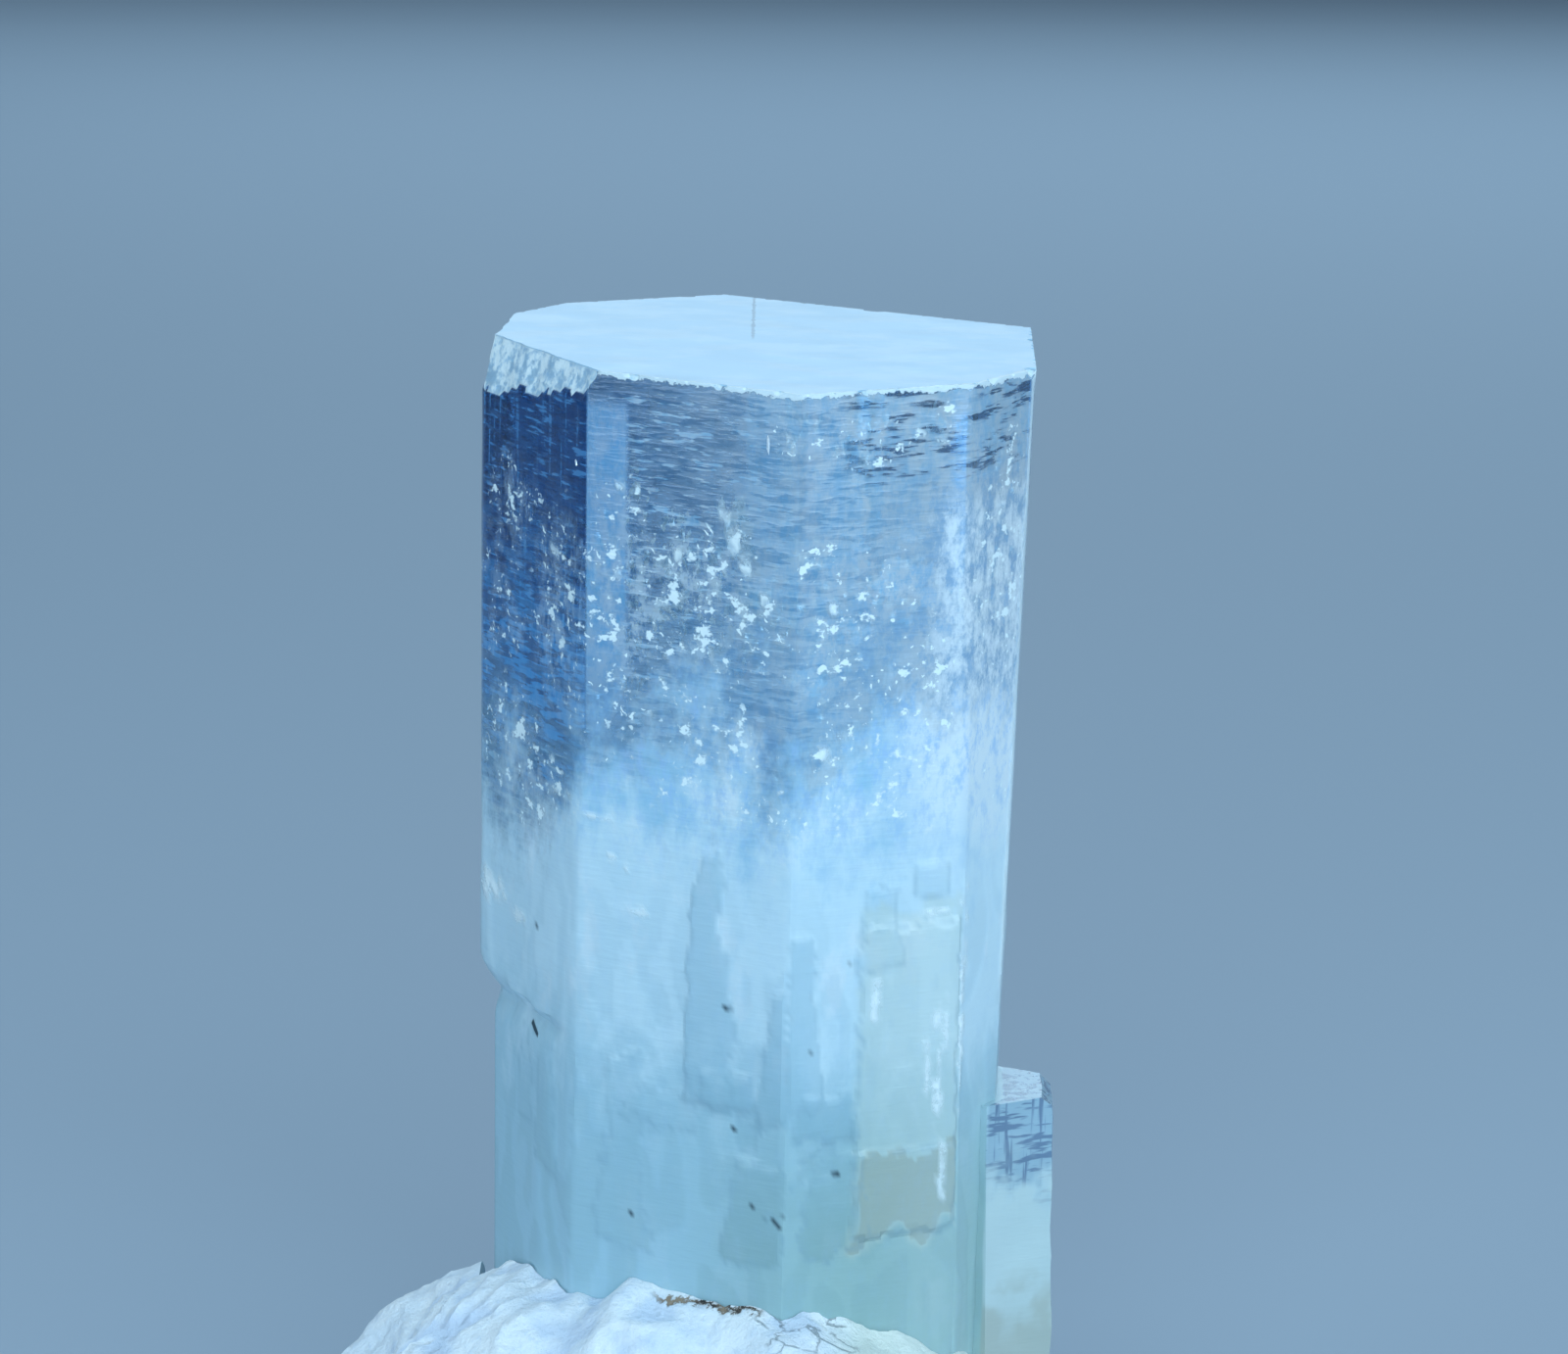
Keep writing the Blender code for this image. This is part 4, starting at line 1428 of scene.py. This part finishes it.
# The lump round the crystal's axis: bearing, height at the crystal, reach at the floor.
LUMP_PROFILE = (
    (0.0, 3.7, 9.1),
    (35.0, 3.1, 9.0),
    (75.0, 3.3, 9.2),
    (110.0, 3.9, 9.3),
    (145.0, 5.1, 9.7),
    (178.0, 6.7, 10.2),
    (205.0, 7.6, 10.25),
    (222.0, 7.55, 10.2),
    (233.0, 7.45, 10.1),
    (243.0, 7.95, 10.0),
    (263.0, 8.1, 9.9),
    (279.0, 8.3, 9.8),
    (297.0, 7.1, 9.6),
    (310.0, 6.2, 9.4),
    (330.0, 5.0, 9.1),
)
LUMP_SEGMENTS = 360
LUMP_RINGS = 170
LUMP_FLATNESS = 4.0
LUMP_SHOULDER = 2.0
RELIEF_AT_CRYSTAL = 0.12
RELIEF_CALM = 3.0
SWELL_SIZE = 3.6
SWELL_HEIGHT = 0.75
KNOB_SIZE = 1.25
KNOB_HEIGHT = 0.14
GRAIN_SIZE = (2.3, 2.3, 3.2)
GRAIN_HEIGHT = 1.25
GRAIN_TAPER = 0.95
GRAIN_SLANT = 0.90
GRAIN_LEVEL = 0.40
FOLD_SIZE = 1.15
FINE_FOLD_SIZE = 0.42
FOLD_HEIGHT = 0.30
FOLD_LEVEL = 0.6
FOLD_AT_CRYSTAL = 0.20
# Where the painted shade of the hollows begins, and how fast it comes in.
HOLLOW_SHADE_LEVEL = 0.72
HOLLOW_SHADE_FADE = 0.5
BLADE_PITCH = 1.30
BLADE_HEIGHT = 0.20
THIN_BLADES = 3.1
THIN_BLADE_HEIGHT = 0.055
BLADES_AT_CRYSTAL = 0.10
BLADE_BEARING = math.radians(62.0)
BLADE_RISE = 0.8
BLADE_BEND = 5.4
BLADES_MIDDLE = 190.0
BLADES_REACH = 62.0
BLADES_FADE = 26.0
RELIEF_LIFT = 0.2
# Pits: bearing, angle down from the top, radius.
PITS = (
    (203.0, 53.0, 0.60),
    (216.0, 58.0, 0.55),
    (231.0, 47.0, 0.50),
    (254.0, 60.0, 0.60),
    (284.0, 62.0, 0.55),
    (318.0, 48.0, 0.55),
    (20.0, 52.0, 0.60),
    (96.0, 58.0, 0.65),
    (160.0, 50.0, 0.60),
)
PIT_STEEPNESS = 0.4
FRONT_HOLLOW = (283.0, 29.0, 1.7)
BROKEN_INSET = 0.06
# Flat broken places of the lump: bearing, how far they look up, distance from the middle.
BROKEN_FACES = (
    (12.0, 14.0, 8.30),
    (47.0, 38.0, 8.20),
    (70.0, 6.0, 8.25),
    (104.0, 30.0, 8.55),
    (131.0, 8.0, 8.70),
    (158.0, 36.0, 9.90),
    (178.0, 4.0, 9.85),
    (224.0, 8.0, 9.95),
    (268.0, 10.0, 9.35),
    (312.0, 16.0, 8.95),
    (340.0, 34.0, 8.60),
)


def lump_at(bearing):
    bearing = bearing % 360.0
    ring = list(LUMP_PROFILE) + [(LUMP_PROFILE[0][0] + 360.0, *LUMP_PROFILE[0][1:])]
    for here, after in zip(ring, ring[1:]):
        if here[0] <= bearing <= after[0]:
            share = smooth_share((bearing - here[0]) / (after[0] - here[0]))
            height = here[1] + (after[1] - here[1]) * share
            reach = here[2] + (after[2] - here[2]) * share
            return height, reach
    return ring[0][1], ring[0][2]


def lump_point(bearing, polar):
    rim_height, reach = lump_at(bearing)
    rim = rim_reach(bearing, TOP_Z - rim_height)
    fall = (1.0 - (rim / reach) ** LUMP_FLATNESS) ** (1.0 / LUMP_SHOULDER)
    outward = reach * max(math.sin(polar), 0.0) ** (2.0 / LUMP_FLATNESS)
    height = rim_height / fall * max(math.cos(polar), 0.0) ** (2.0 / LUMP_SHOULDER)
    return bearing_vector(bearing) * outward + Vector((0.0, 0.0, height))


def blade_share(bearing):
    away = abs((bearing - BLADES_MIDDLE + 180.0) % 360.0 - 180.0)
    return smooth_share((BLADES_REACH - away) / BLADES_FADE)


def fold_share(point):
    """Wrinkles with sharp crests, one on the crests and less in the hollows."""
    broad = abs(noise.noise(point / FOLD_SIZE + Vector((0.0, 9.0, 4.0))))
    fine = abs(noise.noise(point / FINE_FOLD_SIZE))
    return 1.0 - 1.3 * broad - 0.5 * fine


def grain_height(point):
    sized = Vector(place / size for place, size in zip(point, GRAIN_SIZE))
    distances, centres = noise.voronoi(sized)
    heights = []
    for distance, centre in zip(distances, centres):
        slant = noise.cell_vector(centre * 9.0) - Vector((0.5, 0.5, 0.5))
        heights.append(slant.dot(sized - centre) * GRAIN_SLANT - distance * GRAIN_TAPER)
    return (max(heights) + GRAIN_LEVEL) * GRAIN_HEIGHT


def blade_height(point, swell):
    across = point.x * math.cos(BLADE_BEARING) - point.y * math.sin(BLADE_BEARING)
    across += point.z * BLADE_RISE + swell * BLADE_BEND
    broad = (0.5 - abs(across / BLADE_PITCH % 1.0 - 0.5) * 2.0) * BLADE_HEIGHT
    bent = across * THIN_BLADES + noise.noise(point * 0.8) * 2.0
    thin = (0.5 - abs(bent / BLADE_PITCH % 1.0 - 0.5) * 2.0) * THIN_BLADE_HEIGHT
    return broad + thin


def relief(point, bearing):
    away = math.hypot(point.x, point.y) - rim_reach(bearing, TOP_Z)
    calm = RELIEF_AT_CRYSTAL + (1.0 - RELIEF_AT_CRYSTAL) * min(max(away / RELIEF_CALM, 0.0), 1.0)
    swell = noise.noise(point / SWELL_SIZE) * SWELL_HEIGHT * calm
    knobs = noise.noise(point / KNOB_SIZE + Vector((7.0, 3.0, 1.0))) * KNOB_HEIGHT
    folds = (fold_share(point) - FOLD_LEVEL) * FOLD_HEIGHT * (FOLD_AT_CRYSTAL + 0.80 * calm)
    share = blade_share(bearing)
    grains = grain_height(point) * calm * (1.0 - share)
    blades = blade_height(point, swell) * share * (BLADES_AT_CRYSTAL + 0.90 * calm)
    return swell + knobs + folds + grains + blades


def pit_places():
    places = []
    for bearing, polar, radius in (*PITS, FRONT_HOLLOW):
        places.append((lump_point(bearing, math.radians(polar)), radius))
    return places


def pit_depth(point, pits):
    return max(0.0, *(PIT_STEEPNESS * (radius - (point - at).length) for at, radius in pits))


def broken_facings():
    facings = []
    for bearing, upwards, distance in BROKEN_FACES:
        rise = math.radians(upwards)
        facing = bearing_vector(bearing) * math.cos(rise)
        facing.z = math.sin(rise)
        facings.append((facing, distance))
    return facings


def press_flat(point, facings):
    for facing, distance in facings:
        beyond = point.dot(facing) - distance
        if beyond > 0.0:
            rough = noise.noise(point * 1.5) * 0.10 + noise.noise(point * 4.0) * 0.03
            point = point - facing * (beyond + BROKEN_INSET + rough)
    return point


def lump_skin():
    bm = bmesh.new()
    made = bmesh.ops.create_uvsphere(
        bm, u_segments=LUMP_SEGMENTS, v_segments=LUMP_RINGS, radius=1.0
    )
    pits = pit_places()
    facings = broken_facings()
    for vert in made["verts"]:
        unit = vert.co.normalized()
        bearing = math.degrees(math.atan2(unit.y, unit.x))
        polar = math.acos(max(min(unit.z, 1.0), -1.0))
        if polar > math.pi / 2 + 1e-4:
            edge = lump_point(bearing, math.pi / 2)
            shrink = math.sin(polar)
            vert.co = Vector((edge.x * shrink, edge.y * shrink, -1.0))
            continue
        smooth = lump_point(bearing, polar)
        outward = Vector((unit.x, unit.y, unit.z + RELIEF_LIFT)).normalized()
        vert.co = smooth + outward * (relief(smooth, bearing) - pit_depth(smooth, pits))
    for vert in bm.verts:
        vert.co = press_flat(vert.co, facings)
    bmesh.ops.translate(bm, verts=bm.verts, vec=(AXIS_X, AXIS_Y, 0.0))
    cut_away(bm, Vector((0.0, 0.0, 0.0)), Vector((0.0, 0.0, -1.0)))
    return bm


def socket_tool():
    """The main prism, plain and a hair larger, to cut its seat in the albite."""
    bm = bmesh.new()
    bmesh.ops.create_cube(bm, size=4 * FOOT_DEPTH)
    for face in PRISM_FACES:
        outward = face_outward(face)
        taper = math.radians(face[3])
        normal = outward * math.cos(taper) - Vector((0.0, 0.0, math.sin(taper)))
        cut_away(bm, outward * face[2] + normal * 0.02, normal)
    cut_away(bm, Vector((0.0, 0.0, -FOOT_DEPTH)), Vector((0.0, 0.0, -1.0)))
    bmesh.ops.transform(bm, matrix=crystal_placement(), verts=bm.verts)
    return bm


def mark_hollow_shade(lump):
    """Give each vertex its share of painted shade in the hollows between the wrinkles."""
    middle = Vector((AXIS_X, AXIS_Y, 0.0))
    shares = []
    for vert in lump.data.vertices:
        hollow_shade = (HOLLOW_SHADE_LEVEL - fold_share(vert.co - middle)) / HOLLOW_SHADE_FADE
        shares.append(smooth_share(hollow_shade))
    layer = lump.data.attributes.new("hollow_shade", "FLOAT", "POINT")
    layer.data.foreach_set("value", shares)


def make_matrix(material):
    lump = mesh_object("albite", lump_skin())
    combine(lump, mesh_object("socket tool", socket_tool()), "DIFFERENCE")
    mark_hollow_shade(lump)
    shade_by_angle(lump, 40.0)
    return hand_in(lump, "albite", material, "albite_matrix")


# ---------------------------------------------------------------------------------------
# Floor, light and camera
# ---------------------------------------------------------------------------------------

VIEW_HEIGHT = math.radians(12.5)
VIEW_DISTANCE = 130.0
VIEW_WIDTH = 34.26
VIEW_RIGHT = 0.51
VIEW_BELOW_TOP = 7.4


def make_floor():
    mix = Recipe("pale floor")
    mix.set(Base_Color=(0.36, 0.43, 0.50), Roughness=0.9)
    bm = bmesh.new()
    bmesh.ops.create_grid(bm, x_segments=8, y_segments=8, size=1800.0)
    bmesh.ops.translate(bm, verts=bm.verts, vec=(0.0, 0.0, -0.02))
    floor = mesh_object("floor", bm)
    floor.data.transform(Matrix.Scale(MM, 4))
    floor.data.materials.append(mix.material)


def soft_box(name, place, target, size, power, colour):
    light = bpy.data.lights.new(name, "AREA")
    light.shape = "RECTANGLE"
    light.size, light.size_y = size[0] * MM, size[1] * MM
    light.energy = power
    light.color = colour
    lamp = bpy.data.objects.new(name, light)
    bpy.context.scene.collection.objects.link(lamp)
    lamp.location = Vector(place) * MM
    aim = (Vector(target) - Vector(place)).to_track_quat("-Z", "Y")
    lamp.rotation_euler = aim.to_euler()
    lamp.visible_camera = False


def make_light():
    world = bpy.data.worlds.new("soft room")
    world.use_nodes = True
    room = world.node_tree.nodes["Background"]
    room.inputs["Color"].default_value = (0.50, 0.74, 1.0, 1.0)
    room.inputs["Strength"].default_value = 0.25
    bpy.context.scene.world = world
    middle = (0.0, 0.0, 15.0)
    cool = (0.61, 0.83, 1.0)
    soft_box("window in front", (30.0, -210.0, 120.0), middle, (220, 150), 0.44, cool)
    soft_box("window above", (-30.0, 10.0, 170.0), middle, (120, 120), 0.07, cool)
    soft_box("window behind", (50.0, 280.0, 140.0), middle, (300, 160), 0.32, cool)
    soft_box("window left", (-170.0, -70.0, 60.0), middle, (110, 140), 0.11, cool)
    soft_box("window right", (150.0, -60.0, 50.0), middle, (110, 140), 0.13, cool)


def make_camera():
    data = bpy.data.cameras.new("camera")
    data.sensor_width = 36.0
    data.lens = 36.0 * VIEW_DISTANCE / VIEW_WIDTH
    data.clip_start = 0.001
    data.clip_end = 20.0
    camera = bpy.data.objects.new("camera", data)
    bpy.context.scene.collection.objects.link(camera)
    target = Vector((AXIS_X + VIEW_RIGHT, AXIS_Y, TOP_Z - VIEW_BELOW_TOP))
    back = Vector((0.0, -math.cos(VIEW_HEIGHT), math.sin(VIEW_HEIGHT)))
    camera.location = (target + back * VIEW_DISTANCE) * MM
    camera.rotation_euler = (-back).to_track_quat("-Z", "Y").to_euler()
    bpy.context.scene.camera = camera


make_crystal(aquamarine_finish())
make_flakes(flake_finish())
make_matrix(albite_finish())
make_floor()
make_light()
make_camera()
bpy.context.scene.view_settings.view_transform = "Standard"
